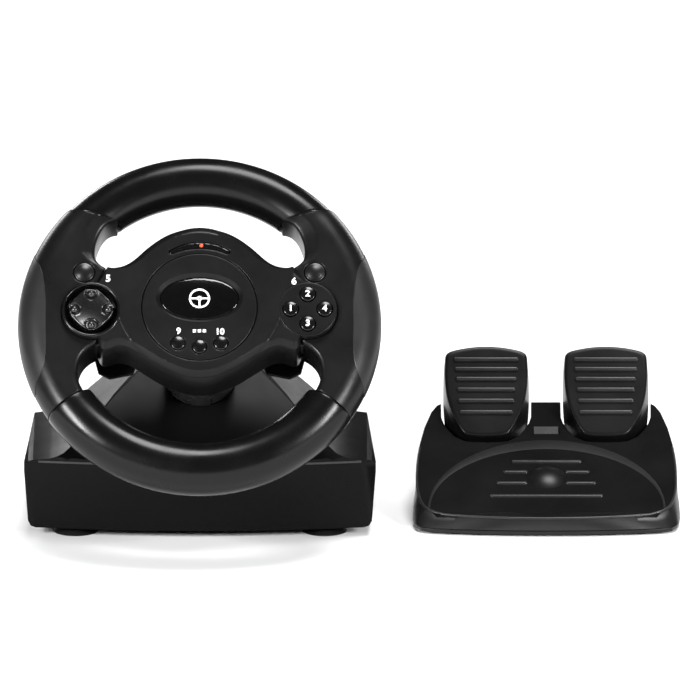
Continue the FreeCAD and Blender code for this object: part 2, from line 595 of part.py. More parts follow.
frame_plates = [block("frame_front", 60, 32, 4, (-30, -20, -116)), block("frame_rear", 60, 30, 5,
                                                                         (-30, -17, -141.5)),
                block("frame_rail_right", 4, 24, 28, (26, -13, -141)), block("frame_rail_left", 4, 24, 28,
                                                                             (-30, -13, -141))]
frame_cut = cut("frame_cut", join("frame_solid", frame_plates),
                [rod("frame_bore", "bush_outer", 12, (0, 0, -144)),
                 rod("frame_pass", 12.4, 12, (0, 0, -120))])
frame_cut.Placement = WHEEL
legs = []
for i, (x, y, top) in enumerate(((-30, 78, 78), (26, 78, 78), (-30, 92, 68), (26, 92, 68))):
    legs.append(block("frame_leg_%d" % i, 4, 10, top - 9.0, (D["wheel_x"] + x, D["front_y"] + y, 9.0)))
publish(join("bearing_frame_join", [frame_cut] + legs), "bearing_frame")


def gear(node, teeth, centre, n_low, width, phase, bore, extra):
    """A spur gear with straight-flanked teeth and a little backlash."""
    module = D["gear_module"]
    pitch = module * teeth / 2.0
    root = pitch - 1.2 * module
    tip = pitch + 0.75 * module
    points = []
    for i in range(teeth):
        mid = phase + 360.0 * i / teeth
        for reach, half in ((root, 1.05), (pitch, 0.62), (tip, 0.32), (tip, -0.32), (pitch, -0.62),
                            (root, -1.05)):
            angle = math.radians(mid) - half * module / reach
            points.append((centre[0] + reach * math.cos(angle), centre[1] + reach * math.sin(angle)))
    blank = extrude(node + "_blank", outline(node + "_line", points), (0, 0, 1), n_low + width, -n_low)
    solid_all = join(node + "_solid", [blank] + extra) if extra else blank
    return publish(cut(node + "_cut", solid_all,
                       [rod(node + "_bore", bore, 80, (centre[0], centre[1], n_low - 40))]),
                   node, WHEEL)


distance = D["gear_module"] * (D["shaft_teeth"] + D["sensor_teeth"]) / 2.0
gear("shaft_gear", int(D["shaft_teeth"]), (0, 0), -126, 5, 0.0, "shaft_radius", [])
gear("sensor_gear", int(D["sensor_teeth"]), (0, -distance), -126, 5, 90.0 + 180.0 / D["sensor_teeth"],
     "2.05", [])
sensor_can = rod("sensor_can", 7.5, 6, (0, -distance, -134))
sensor_pin = rod("sensor_pin", 2.0, 13, (0, -distance, -133.5))
sensor_arm = block("sensor_arm", 12, 16.5, 2.5, (-6, -distance - 4, -136.45))
publish(join("sensor_join", [sensor_can, sensor_pin, sensor_arm]), "steering_sensor", WHEEL)


def coil(name, radius, wire, pitch, height, placement):
    """A helical spring of round wire."""
    path = doc.addObject("Part::Helix", name + "_path")
    path.Radius = radius
    path.Pitch = pitch
    path.Height = height
    section = doc.addObject("Part::Circle", name + "_wire")
    section.Radius = wire
    section.Placement = Placement(Vector(radius, 0, 0), Rotation(Vector(1, 0, 0), 90))
    sweep = doc.addObject("Part::Sweep", name)
    sweep.Sections = [section]
    sweep.Spine = (path, ["Edge1"])
    sweep.Solid = True
    sweep.Frenet = True
    sweep.Placement = placement
    return sweep


publish(coil("centering_coil", 13.5, 1.0, 2.6, 7.8,
             WHEEL.multiply(Placement(Vector(0, 0, -135), Rotation()))),
        "centering_spring")

# ---------------------------------------------------------------- table base

tan_slope = math.tan(math.radians(D["base_slope"]))
crown_profile = [(115.3, 54.2), (104, 55.6), (94, 59), (86, 64.5), (80, 69.8), (75.4, 74), (70, 78.6),
                 (66.8, 81.2), (60, 87.6), (50, 95.6), (35, 104), (18, 110), (0, 112)]


def hump(name, inset, y_low, y_high):
    """The top shell's crown: flat shoulders and a raised middle, the same from front to back."""
    half = [(max(x - inset, 0.0) if x else 0.0, z - inset) for x, z in crown_profile]
    foot = D["base_half_top"] - inset
    pts = [(foot, 40.0), (foot - 0.2, half[0][1] - 4.5), (foot - 2.2, half[0][1] - 1.6)] + half
    wire = outline(name + "_line", pts + flip(pts[:-1]), y_low, "xz")
    return extrude(name, wire, (0, 1, 0), y_high - y_low)


def tapered(name, inset):
    """The base's plan, a little narrower at the back, from the floor to above the crown."""
    front = D["base_half_top"] - inset
    back = D["base_half_back"] - inset
    deep = D["base_depth"] - inset
    plan_line = [(-front, inset), (front, inset), (back, deep), (-back, deep)]
    return extrude(name, outline(name + "_line", plan_line), (0, 0, 1), 150)


def under_deck(name, lower, y0=-30.0, y1=170.0):
    """Everything below the sloping front deck, dropped by `lower`."""
    drop = lower / math.cos(math.radians(D["base_slope"]))
    high = D["base_split"] - drop + y1 * tan_slope
    low = D["base_split"] - drop + y0 * tan_slope
    wire = outline(name + "_line", [(y0, low), (y1, high), (y1, -20), (y0, -20)], -160, "yz")
    return extrude(name, wire, (1, 0, 0), 320)


def bowed(name, inset, height=150.0):
    """A long cylinder whose near side is the bowed front face."""
    return rod(name, "base_bow - (%s)" % inset, height, (0, D["base_bow"], -5))


top_box = block("top_box", "2 * base_half_top", "base_depth", 90, (-D["base_half_top"], 0, D["base_split"]))
base_plan = tapered("base_plan", 0)
base_plan_in = tapered("base_plan_in", 3)
top_solid = common("top_solid", [hump("hump_outer", 0.0, 0, D["base_depth"]), under_deck("deck_outer", 0),
                                 bowed("bow_outer", 0), base_plan, top_box])
top_room = common("top_room", [hump("hump_inner", 3.0, 3, D["base_depth"] - 3),
                               under_deck("deck_inner", 5.0), bowed("bow_inner", 3), base_plan_in])
deck_half = [(73.0, 8.0), (72, 14), (69.5, 26), (67.8, 40), (64, 52), (55, 64), (45, 76), (35, 90),
             (20, 100)]
deck_wide = [(x + 0.3, y + 0.2) for x, y in deck_half]
deck_wide[0] = (73.3, 7.8)
deck_field = extrude("deck_field", outline("deck_field_line", flip(deck_half)[::-1] + deck_half[::-1]),
                     (0, 0, 1), 200)
deck_field_wide = extrude("deck_field_wide", outline("deck_wide_line",
                                                     flip(deck_wide)[::-1] + deck_wide[::-1]),
                          (0, 0, 1), 200)
deck_layer = cut("deck_layer", under_deck("deck_a", 0), [under_deck("deck_b", D["deck_thick"])])
deck_plate = common("deck_plate", [hump("hump_deck", 0.0, 0, D["base_depth"]), deck_layer, deck_field])
column_hole = rod("column_hole", "tube_foot + 0.15", 90, (0, 0, -130))
column_hole.Placement = BASE.inverse().multiply(WHEEL.multiply(column_hole.Placement))
publish(cut("column_shroud_cut", deck_plate, [column_hole]), "column_shroud", BASE)
deck_room = cut("deck_room", under_deck("deck_c", -2), [under_deck("deck_d", D["deck_thick"] + 0.05)])
deck_pocket = common("deck_pocket", [deck_room, deck_field_wide])
publish(cut("base_top_cut", top_solid, [top_room, deck_pocket, column_hole]), "base_top_shell", BASE)

foot = D["base_half_foot"]
top = D["base_half_top"]
tub_wire = outline("tub_wire", [(-foot + 5.5, 6.0), (foot - 5.5, 6.0), (foot - 2.2, 7.0),
                                (foot - 0.2, 10.5),
                                (top, 52.9), (-top, 52.9), (-foot + 0.2, 10.5), (-foot + 2.2, 7.0)], 0.0,
                   "xz")
tub = extrude("tub", tub_wire, (0, 1, 0), D["base_depth"])
tub_room_wire = outline("tub_room_wire", [(-foot + 8, 9.0), (foot - 8, 9.0), (foot - 3.6, 12),
                                          (top - 3.1, 60),
                                          (-top + 3.1, 60), (-foot + 3.6, 12)], 3.0, "xz")
tub_room = common("tub_room", [extrude("tub_room_block", tub_room_wire, (0, 1, 0), D["base_depth"] - 6),
                               bowed("bow_tub_in", 3), base_plan_in])
tub_shell = cut("tub_shell", common("tub_solid", [tub, bowed("bow_tub", 0), base_plan]), [tub_room])
SCREW_SPOTS = ((-60, 30), (60, 30), (-104, 70), (104, 70), (-60, 118), (60, 118))
tub_posts = [rod("clamp_boss", 8, 16, (0, 28, 6.5))]
tub_holes = [rod("clamp_hole", 3, 12, (0, 28, 6.0)),
             rod("pedal_socket_hole", 6.2, 12, (-30, 130, 28), ALONG_Y), rod("cable_hole", 4.3, 12,
                                                                             (30, 130, 28), ALONG_Y)]
for i, (x, y) in enumerate(SCREW_SPOTS):
    tub_posts.append(rod("screw_post_%d" % i, 4.5, 44.3, (x, y, 8.5)))
    tub_holes.append(rod("screw_hole_%d" % i, 1.7, 60, (x, y, 5)))
    tub_holes.append(rod("screw_sink_%d" % i, 3.2, 3, (x, y, 5)))
for i, (x, y) in enumerate(((54, 84), (90, 84), (54, 108), (90, 108))):
    tub_posts.append(rod("board_post_%d" % i, 2.5, 3.7, (x, y, 8.5)))
CUP_SPOTS = ((-86, 24), (86, 24), (-86, 112), (86, 112))
for i, (x, y) in enumerate(CUP_SPOTS):
    tub_holes.append(rod("cup_seat_%d" % i, 4.05, 10, (x, y, 5)))
publish(cut("base_bottom_cut", join("tub_all", [tub_shell] + tub_posts), tub_holes), "base_bottom_shell",
        BASE)

cups = []
for i, (x, y) in enumerate(CUP_SPOTS):
    skirt = frustum("cup_skirt_%d" % i, 15.5, 9, 5.9, (x, y, 0))
    hollow = frustum("cup_hollow_%d" % i, 13, 2, 2.6, (x, y, -0.01))
    stud = rod("cup_stud_%d" % i, 4, 7, (x, y, 3))
    cups.append(cut("cup_%d" % i, join("cup_solid_%d" % i, [skirt, stud]), [hollow]))
publish(join("cups_all", cups), "suction_cups", BASE)
screws = [join("base_screw_%d" % i, [rod("base_screw_head_%d" % i, 3.0, 1.6, (x, y, 6.3)),
                                     rod("base_screw_stem_%d" % i, 1.5, 36, (x, y, 7))])
          for i, (x, y) in enumerate(SCREW_SPOTS)]
publish(join("base_screws_all", screws), "base_screws", BASE)


def draw_board(sketch):
    draw_box(sketch, -22, -16, 22, 16)


body_pad("main_board", draw_board, 1.6, BASE.multiply(Placement(Vector(72, 96, 12.2), Rotation())))
socket = cut("socket_cut", join("socket_solid", [rod("socket_body", 6.0, 14, (-30, 123, 28), ALONG_Y),
                                                 rod("socket_lip", 7.6, 1.5, (-30, 136.02, 28), ALONG_Y)]),
             [rod("socket_bore", 3.4, 10, (-30, 129, 28), ALONG_Y)])
publish(socket, "pedal_socket", BASE)
gland = cut("gland_cut", join("gland_solid", [rod("gland_body", 4.2, 9, (30, 129, 28), ALONG_Y),
                                              rod("gland_lip", 6.2, 2.4, (30, 136.02, 28), ALONG_Y)]),
            [rod("gland_bore", 2.0, 20, (30, 124, 28), ALONG_Y)])
gland.Placement = BASE
pedal_gland = cut("pedal_gland_cut",
                  join("pedal_gland_solid", [rod("pedal_gland_body", 4.2, 9, (0, 139.6, 13), ALONG_Y),
                                             rod("pedal_gland_lip", 6.2, 2.4, (0, 147.03, 13), ALONG_Y)]),
                  [rod("pedal_gland_bore", 2.0, 20, (0, 134, 13), ALONG_Y)])
pedal_gland.Placement = PEDALS
publish(join("glands_all", [gland, pedal_gland]), "cable_glands")

# ---------------------------------------------------------------- pedal unit

plan_half = [(0, 0), (24, 0.45), (46, 1.9), (66, 4.2), (80, 7.0), (86.5, 10.5), (89.8, 16), (91.6, 26),
             (92.4, 45),
             (92.2, 70), (90.4, 95), (87.2, 116), (82.6, 134.5), (78.6, 143), (73.5, 147), (40, 147), (0, 147)]
plan = plan_half + [(-x, y) for x, y in reversed(plan_half[1:-1])]
plan_top_half = [(0, 0.6), (24, 1.6), (46, 4.6), (62, 8.4), (74, 12.4), (80, 15.4), (84.8, 20), (87.8, 27),
                 (90.2, 40), (91, 56), (90.6, 76), (89, 95), (86, 115), (81.5, 134), (77.6, 142.5), (72.5, 147),
                 (40, 147), (0, 147)]
plan_top = plan_top_half + [(-x, y) for x, y in reversed(plan_top_half[1:-1])]


def scaled(points, factor, shift_y):
    return [(x * factor, 80 + (y - 80) * factor + shift_y) for x, y in points]


def pedal_body(name, inset):
    k = 1.0 - inset / 85.0
    wires = [outline(name + "_low", scaled(plan, k, 0), 4.4),
             outline(name + "_mid", scaled(plan_top, k, 0), 14.0),
             outline(name + "_high", scaled(plan_top, k * 0.975, 0), 60.0)]
    return loft(name, wires)


def slope_height(y):
    """The heel slope's height: straight up to the foot of the pedals, then a little flatter."""
    if y > 101.6:
        return 43.6 + (y - 101.6) * 15.4 / 48.4
    return 9.8 + y * 33.8 / 101.6


def under_slope(name, drop):
    wire = outline(name + "_line", [(-10, slope_height(-10) - drop), (101.6, slope_height(101.6) - drop),
                                    (150, 59.0 - drop), (160, 59 - drop), (160, -5), (-10, -5)], -120, "yz")
    return extrude(name, wire, (1, 0, 0), 240)


pedal_outer = common("pedal_outer", [pedal_body("pedal_skin", 0.0), under_slope("pedal_slope", 0.0)])
pedal_inner = common("pedal_inner", [pedal_body("pedal_room", 2.8), under_slope("pedal_room_slope", 3.0)])
pedal_inner_low = extrude("pedal_inner_low", outline("pedal_low_line", scaled(plan, 1.0 - 2.8 / 85.0, 0),
                                                     4.0),
                          (0, 0, 1), 3)
well_half = [(0, 96.4), (9, 96.8), (14.8, 97.8), (21.7, 103.4), (26.6, 112), (29.6, 120), (31, 127), (31.3, 152)]
wells = []
for side in (-1, 1):
    pts = [(side * D["pedal_gap_x"] + x, y) for x, y in well_half]
    pts += [(side * D["pedal_gap_x"] - x, y) for x, y in reversed(well_half[1:])]
    wells.append(extrude("pedal_well_%d" % (side + 1),
                         outline("pedal_well_line_%d" % (side + 1), pts, 15.5),
                         (0, 0, 1), 60))
label_seat = block("label_seat", 17.2, 9.4, 1.2)
SLOPE = Rotation(Vector(1, 0, 0), math.degrees(math.atan2(33.8, 101.6)))


def on_slope(x, y, lift=0.0):
    """A place on the heel slope, z along the slope's normal."""
    normal = SLOPE.multVec(Vector(0, 0, 1))
    return Placement(Vector(x, y, slope_height(y)) + normal * lift, SLOPE)


label_seat.Placement = on_slope(0, 110.3, -0.6).multiply(Placement(Vector(-8.6, -4.7, 0), Rotation()))
dome_at = on_slope(0, 54.4)
dome_seat = rod("dome_seat", "dome_radius - 2", 10)
dome_seat.Placement = on_slope(0, 54.4, -5)
gland_seat = rod("gland_seat", 4.3, 14, (0, 138, 13), ALONG_Y)
publish(cut("pedal_top_cut", pedal_outer,
            [gland_seat, pedal_inner, pedal_inner_low, wells[0], wells[1], label_seat, dome_seat]),
        "pedal_base_top", PEDALS)

dome = common("dome_common", [rod("dome_side", "dome_radius", 4.4, (0, 0, 0.02)),
                              ball("dome_ball", 24.5, (0, 0, -20.2))])
dome_solid = join("dome_solid", [dome, rod("dome_plug", "dome_radius - 2.2", 2.4, (0, 0, -2.3))])
publish(dome_solid, "heel_dome", PEDALS.multiply(dome_at))


def draw_label(sketch):
    draw_box(sketch, -8.4, -4.5, 8.4, 4.5)


body_pad("pedal_label_plate", draw_label, 0.9, PEDALS.multiply(on_slope(0, 110.3, -0.55)))

bottom_plate = extrude("pedal_plate", outline("pedal_plate_line", scaled(plan, 1.0 - 3.1 / 85.0, 0), 1.5),
                       (0, 0, 1), 3)
bottom_lip = extrude("pedal_lip", outline("pedal_lip_line", scaled(plan, 1.0, 0), 1.5), (0, 0, 1), 2.8)
brackets = []
for side in (-1, 1):
    for reach in (-14.5, 14.5):
        x = side * D["pedal_gap_x"] + reach
        brackets.append(slab("bracket_%d_%d" % (side + 1, reach > 0), 4, 16, 26, (x, D["axle_y"], 4.0)))
axle_bore = rod("axle_bore", "axle_radius", 140, (-70, D["axle_y"], D["axle_z"]), ALONG_X)
plate_holes = [axle_bore] + [rod("foot_seat_%d" % i, 3.05, 1.6, (x, y, 1.4))
                             for i, (x, y) in enumerate(((-70, 20), (70, 20), (-62, 128), (62, 128)))]
publish(cut("pedal_bottom_cut", join("pedal_bottom_solid", [bottom_plate, bottom_lip] + brackets),
            plate_holes),
        "pedal_base_bottom", PEDALS)
feet = [join("pedal_foot_%d" % i,
             [rod("foot_pad_%d" % i, 7, 1.5, (x, y, 0)), rod("foot_stud_%d" % i, 3, 2.4, (x, y, 0.5))])
        for i, (x, y) in enumerate(((-70, 20), (70, 20), (-62, 128), (62, 128)))]
publish(join("pedal_feet_all", feet), "pedal_feet", PEDALS)
axles = [rod("axle_%d" % (side + 1), "axle_radius", 35,
             (side * D["pedal_gap_x"] - 17.5, D["axle_y"], D["axle_z"]), ALONG_X)
         for side in (-1, 1)]
publish(join("axles_all", axles), "pedal_axles", PEDALS)

pad_half = [(0, 0), (9, 0.4), (14.5, 1.6), (16.8, 3.6), (21.3, 11.7), (25.3, 21.7), (27.8, 32.6),
            (28.9, 46.6),
            (28.6, 57), (27.9, 62.6), (25.6, 64.8), (20, 66.6), (10, 68.4), (0, 69)]
pad_line = pad_half + [(-x, u) for x, u in reversed(pad_half[1:-1])]
pad_small = [(x * 0.95, 33 + (u - 33) * 0.965) for x, u in pad_line]
wide_half = [(0, -3), (12, -2.7), (19, -1.2), (24, 2.2), (26.8, 8), (28.6, 17), (29.5, 30), (29.6, 46), (29.2, 58),
             (28.4, 64), (26, 67), (20, 69), (10, 70.8), (0, 71.4)]
pad_wide = wide_half + [(-x, u) for x, u in reversed(wide_half[1:-1])]
room_top = [(x * 0.90, 33 + (u - 33) * 0.92) for x, u in pad_line]
room_low = [(x * 0.92, 34 + (u - 34) * 0.93) for x, u in pad_wide]


def pedal(node, side):
    """One pedal: a hollow pad with ribs, and an arm down to the barrel on the axle."""
    skin = loft(node + "_skin", [outline(node + "_top", pad_small, 0.0),
                                 outline(node + "_edge", pad_line, -2.2),
                                 outline(node + "_skirt", pad_wide, -18.0)])
    room = loft(node + "_room", [outline(node + "_room_top", room_top, -4.0),
                                 outline(node + "_room_low", room_low, -19.0)])
    ribs = []
    for i, (u, half) in enumerate(((58.4, 22.4), (51.0, 21.8), (43.4, 21.0), (35.3, 20.2), (26.8, 19.4),
                                   (18.0, 18.4))):
        ribs.append(solid("Box", node + "_rib_%d" % i, {"Length": 2 * half, "Width": 2.3, "Height": 1.9},
                          (-half, u - 1.15, -1.0)))
    shell = join(node + "_shell", [cut(node + "_hollow", skin, [room])] + ribs)
    centre = side * D["pedal_gap_x"]
    shell.Placement = Placement(Vector(centre, 100.0, 45.3), Rotation(Vector(1, 0, 0),
                                                                      90 - D["pedal_lean"]))
    barrel = rod(node + "_barrel", 6.5, 24, (centre - 12, D["axle_y"], D["axle_z"]), ALONG_X)
    arm_wire = outline(node + "_arm_line", [(105.6, 21.5), (106.8, 41.3), (111, 52.3), (120.0, 61.3),
                                            (126.5, 57.8), (121.5, 41.3), (118.4, 21.5)], centre - 9, "yz")
    arm = extrude(node + "_arm", arm_wire, (1, 0, 0), 18)
    seat = block(node + "_seat", 14, 18, 2.6, (centre - 7, 117, 24.4))
    bore = rod(node + "_bore", "axle_radius + run_gap", 60, (centre - 30, D["axle_y"], D["axle_z"]),
               ALONG_X)
    return publish(cut(node + "_cut", join(node + "_solid", [shell, barrel, arm, seat]), [bore]), node,
                   PEDALS)


pedal("brake_pedal", -1)
pedal("gas_pedal", 1)

springs = [coil("pedal_coil_%d" % (side + 1), 4.6, 0.8, 3.4, 17.6,
                Placement(Vector(side * D["pedal_gap_x"], 127.0, 5.4), Rotation())) for side in (-1, 1)]
publish(join("springs_all", springs), "pedal_springs", PEDALS)
sensors = []
for i, side in enumerate((-1, 1)):
    x = side * D["pedal_gap_x"] + (18.2 if side < 0 else -26.2)
    sensors.append(block("pedal_sensor_%d" % i, 8, 14, 12, (x, D["axle_y"] - 7, D["axle_z"] - 17.5)))
publish(join("sensors_all", sensors), "pedal_sensors", PEDALS)

# ---------------------------------------------------------------- check and export

doc.recompute()
os.makedirs("parts", exist_ok=True)
problems = []
for obj in nodes:
    shape = obj.Shape
    bad = [word for word in obj.State if word in ("Invalid", "Error")]
    if bad or shape.isNull() or not shape.isValid() or shape.Volume <= 0:
        problems.append("%s %s" % (obj.Label, obj.State))
        continue
    print("%-20s solids %d  volume %.1f  box %s" % (obj.Label, len(shape.Solids), shape.Volume / 1000.0,
                                                    [round(v, 1) for v in (shape.BoundBox.XMin,
                                                                           shape.BoundBox.YMin,
                                                                           shape.BoundBox.ZMin,
                                                                           shape.BoundBox.XMax,
                                                                           shape.BoundBox.YMax,
                                                                           shape.BoundBox.ZMax)]))
if problems:
    raise RuntimeError("bad sub-parts: " + "; ".join(problems))
for obj in nodes:
    obj.Shape.exportStep("parts/%s.step" % obj.Label)
print("sub-parts written:", len(nodes))
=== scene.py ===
import json
import math

import bmesh
import bpy
import numpy as np
from mathutils import Matrix, Vector
from mathutils.bvhtree import BVHTree
from mathutils.geometry import delaunay_2d_cdt


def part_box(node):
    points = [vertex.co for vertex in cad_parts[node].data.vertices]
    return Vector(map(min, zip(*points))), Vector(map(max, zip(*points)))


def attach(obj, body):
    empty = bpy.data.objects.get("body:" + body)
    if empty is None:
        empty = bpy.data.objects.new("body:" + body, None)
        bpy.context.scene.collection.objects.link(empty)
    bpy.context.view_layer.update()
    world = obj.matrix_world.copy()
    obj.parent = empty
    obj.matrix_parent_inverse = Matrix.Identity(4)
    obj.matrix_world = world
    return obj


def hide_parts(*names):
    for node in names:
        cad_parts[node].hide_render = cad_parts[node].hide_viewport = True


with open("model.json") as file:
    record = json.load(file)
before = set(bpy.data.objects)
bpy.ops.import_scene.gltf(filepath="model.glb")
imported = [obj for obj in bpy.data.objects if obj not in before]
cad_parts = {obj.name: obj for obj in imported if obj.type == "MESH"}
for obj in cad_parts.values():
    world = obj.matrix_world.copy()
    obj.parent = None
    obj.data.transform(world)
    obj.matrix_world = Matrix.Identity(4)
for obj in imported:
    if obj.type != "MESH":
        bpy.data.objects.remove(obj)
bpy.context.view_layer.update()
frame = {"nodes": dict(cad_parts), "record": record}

# ---------- frames of the three units
joints = {j["name"]: j for j in frame["record"]["behaviour"]["joints"]}
HUB = Vector(joints["steering"]["pos_m"])
NORMAL = Vector(joints["steering"]["axis"]).normalized()
UP = NORMAL.cross(Vector((1, 0, 0))).normalized()
WHEEL = Matrix.Translation(HUB) @ Matrix(((1, 0, 0), UP, NORMAL)).transposed().to_4x4()
base_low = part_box("base_bottom_shell")[0]
BASE = Matrix.Translation(Vector((HUB.x, base_low[1], 0)))
plate_low, plate_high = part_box("pedal_base_bottom")
PEDAL_X = (plate_low[0] + plate_high[0]) / 2
PEDALS = Matrix.Translation(Vector((PEDAL_X, plate_low[1], 0)))
MM = 0.001
WELD = 2e-6  # metres: vertices closer than this are one
scene = bpy.context.scene


# ---------- materials
MOTTLE_RAMP = (0.30, 0.72)  # noise values at the darker and the lighter end of the mottling
PATCH_SCALE = 35.0          # scale of the patches of uneven roughness
BUMPS = {"wave": (1.0, 0.001), "grain": (3.0, 0.0004)}  # noise detail, bump distance in metres


def add_node(tree, kind, **settings):
    """A new node with its inputs set; an underscore stands for a space in an input's name."""
    node = tree.nodes.new(kind)
    for key, value in settings.items():
        node.inputs[key.replace("_", " ")].default_value = value
    return node


def material(name, base, rough, spec=0.5, grain=0.0, grain_scale=900.0, metal=0.0, mottle=0.10,
             mottle_scale=180.0, rough_vary=0.05, wave=0.0, wave_scale=40.0):
    """A moulded or metal finish in object space: mottled colour, uneven roughness and a fine grain."""
    m = bpy.data.materials.new(name)
    m.use_nodes = True
    tree = m.node_tree
    link = tree.links.new
    shader = tree.nodes["Principled BSDF"]
    shader.inputs["Metallic"].default_value = metal
    shader.inputs["Specular IOR Level"].default_value = spec
    place = add_node(tree, "ShaderNodeTexCoord").outputs["Object"]
    noise = add_node(tree, "ShaderNodeTexNoise", Scale=mottle_scale, Detail=4.0)
    link(place, noise.inputs["Vector"])
    ramp = add_node(tree, "ShaderNodeValToRGB")
    for stop, position, way in zip(ramp.color_ramp.elements, MOTTLE_RAMP, (-1, 1)):
        stop.position = position
        stop.color = [min(max(c * (1 + way * mottle), 0.0), 1.0) for c in base] + [1]
    link(noise.outputs["Fac"], ramp.inputs["Fac"])
    link(ramp.outputs["Color"], shader.inputs["Base Color"])
    patches = add_node(tree, "ShaderNodeTexNoise", Scale=PATCH_SCALE, Detail=6.0)
    link(place, patches.inputs["Vector"])
    spread = add_node(tree, "ShaderNodeMapRange", From_Min=0.3, From_Max=0.7,
                      To_Min=max(rough - rough_vary, 0.02), To_Max=min(rough + rough_vary, 1.0))
    link(patches.outputs["Fac"], spread.inputs["Value"])
    link(spread.outputs["Result"], shader.inputs["Roughness"])
    last = shader
    for kind, strength, scale in (("grain", grain, grain_scale), ("wave", wave, wave_scale)):
        if strength:  # the grain feeds the shader, and the wave the grain
            detail, distance = BUMPS[kind]
            tex = add_node(tree, "ShaderNodeTexNoise", Scale=scale, Detail=detail)
            link(place, tex.inputs["Vector"])
            bump = add_node(tree, "ShaderNodeBump", Strength=strength, Distance=distance)
            link(tex.outputs["Fac"], bump.inputs["Height"])
            link(bump.outputs["Normal"], last.inputs["Normal"])
            last = bump
    return m


# base colour (linear), roughness, specular level, grain, grain scale, and what else material() takes
FINISHES = {
    "shell_dark": ((0.0042, 0.0042, 0.0044), 0.32, 0.22, 0.05, 1500),
    "shell_grey": ((0.0125, 0.0125, 0.013), 0.4, 0.34, 0.04, 1500),
    "cap_satin": ((0.0055, 0.0055, 0.0058), 0.3, 0.34, 0.04, 1500),
    "hub_satin": ((0.0048, 0.0048, 0.005), 0.34, 0.17, 0.05, 1600),
    "grip_rubber": ((0.0026, 0.0026, 0.0028), 0.24, 0.22, 0.04, 1500),
    "base_texture": ((0.0014, 0.0014, 0.0015), 0.4, 0.1, 0.55, 1300, dict(mottle=0.25, mottle_scale=900)),
    "deck_satin": ((0.0055, 0.0055, 0.0057), 0.42, 0.16, 0.08, 1500),
    "gloss_black": ((0.002, 0.002, 0.0022), 0.1, 0.45, 0.0, 900, dict(rough_vary=0.02, mottle=0.2)),
    "cap_black": ((0.003, 0.003, 0.0032), 0.18, 0.45, 0.0, 900, dict(rough_vary=0.03, wave=0.02)),
    "core_plastic": ((0.06, 0.06, 0.06), 0.5, 0.5, 0.1, 900),
    "steel": ((0.52, 0.52, 0.53), 0.32, 0.5, 0.05, 2500, dict(metal=1.0)),
    "spring_steel": ((0.42, 0.42, 0.44), 0.28, 0.5, 0.03, 900, dict(metal=1.0)),
    "bronze": ((0.55, 0.38, 0.18), 0.42, 0.5, 0.2, 2200, dict(metal=1.0)),
    "nylon": ((0.72, 0.7, 0.64), 0.45, 0.5, 0.05, 900),
    "board": ((0.02, 0.14, 0.06), 0.35, 0.5, 0.0, 900, dict(mottle=0.25, mottle_scale=320, wave=0.05)),
    "cup_rubber": ((0.008, 0.008, 0.008), 0.38, 0.3, 0.05, 900, dict(wave=0.1)),
    "lamp_red": ((0.8, 0.03, 0.02), 0.2, 0.5, 0.0, 900),
    "smoke": ((0.003, 0.003, 0.0032), 0.14, 0.4, 0.0, 900, dict(rough_vary=0.02)),
    "label_grey": ((0.045, 0.045, 0.047), 0.38, 0.3, 0.1, 1800),
    "pedal_black": ((0.0055, 0.0055, 0.0058), 0.38, 0.26, 0.1, 1400, dict(mottle=0.15)),
    "pedal_floor": ((0.0022, 0.0022, 0.0024), 0.36, 0.1, 0.25, 1200, dict(mottle=0.2, mottle_scale=700)),
    "rocker_gloss": ((0.0035, 0.0035, 0.0037), 0.25, 0.7, 0.0, 900, dict(rough_vary=0.03)),
    # grey plastic made lighter than the other blacks: partly its own tone, partly a painted reflection of its
    # bright highlights
    "collar": ((0.03, 0.03, 0.031), 0.24, 0.6, 0.04, 1500),
    "pedal_front": ((0.0085, 0.0085, 0.0088), 0.36, 0.3, 0.08, 1500),
    # lighter grey: a painted highlight along the base's front edge
    "edge_grey": ((0.02, 0.02, 0.021), 0.34, 0.45, 0.06, 1500),
    "pedal_pad": ((0.0045, 0.0045, 0.0047), 0.32, 0.2, 0.06, 1500),
    # lighter than the pedal moulding: a painted highlight on the ribs and on the slope's edge bead
    "pedal_rib": ((0.014, 0.014, 0.0145), 0.34, 0.4, 0.05, 1500),
    # lighter than the heel floor: painted light for a lit slanted wall
    "pedal_band": ((0.0075, 0.0075, 0.0078), 0.42, 0.22, 0.05, 1500),
    "print_white": ((0.86, 0.86, 0.86), 0.5, 0.5, 0.05, 900, dict(mottle=0.03)),
}
MAT = {name: material(name, *row[:5], **dict(*row[5:])) for name, row in FINISHES.items()}
glow = MAT["lamp_red"].node_tree.nodes["Principled BSDF"]
glow.inputs["Emission Color"].default_value = (1.0, 0.06, 0.02, 1)
glow.inputs["Emission Strength"].default_value = 3.0

# ---------- the CAD nodes
record_slots = {part["node"]: part["material_slot"] for part in frame["record"]["subparts"]}
CAD_FINISH = {"column_shroud": "deck_satin", "column_tube": "collar", "hub_front_cover": "hub_satin",
              "hub_back_cover": "hub_satin", "hub_panel": "hub_satin", "pedal_base_top": "pedal_floor",
              "dpad_dish": "gloss_black"}
for node, slot in record_slots.items():
    obj = bpy.data.objects.get(node)
    if obj is not None:
        chosen = MAT[CAD_FINISH.get(node, slot)]
        if not obj.material_slots:
            obj.data.materials.append(chosen)
        for held in obj.material_slots:
            held.material = chosen

BODY_OF = {node: body for body, nodes in frame["record"]["behaviour"]["bodies"].items() for node in nodes}
CREASE = math.radians(28.0)  # edges sharper than this are rounded, or kept sharp where nothing is rounded
FLAT = math.radians(0.6)     # faces closer to level than this are joined before the edges are rounded
ROUNDING = {"base_top_shell": 0, "base_bottom_shell": 0, "column_shroud": 0, "pedal_base_top": 0.6,
            "pedal_base_bottom": 0.5, "left_paddle": 0.5, "right_paddle": 0.5}  # millimetres


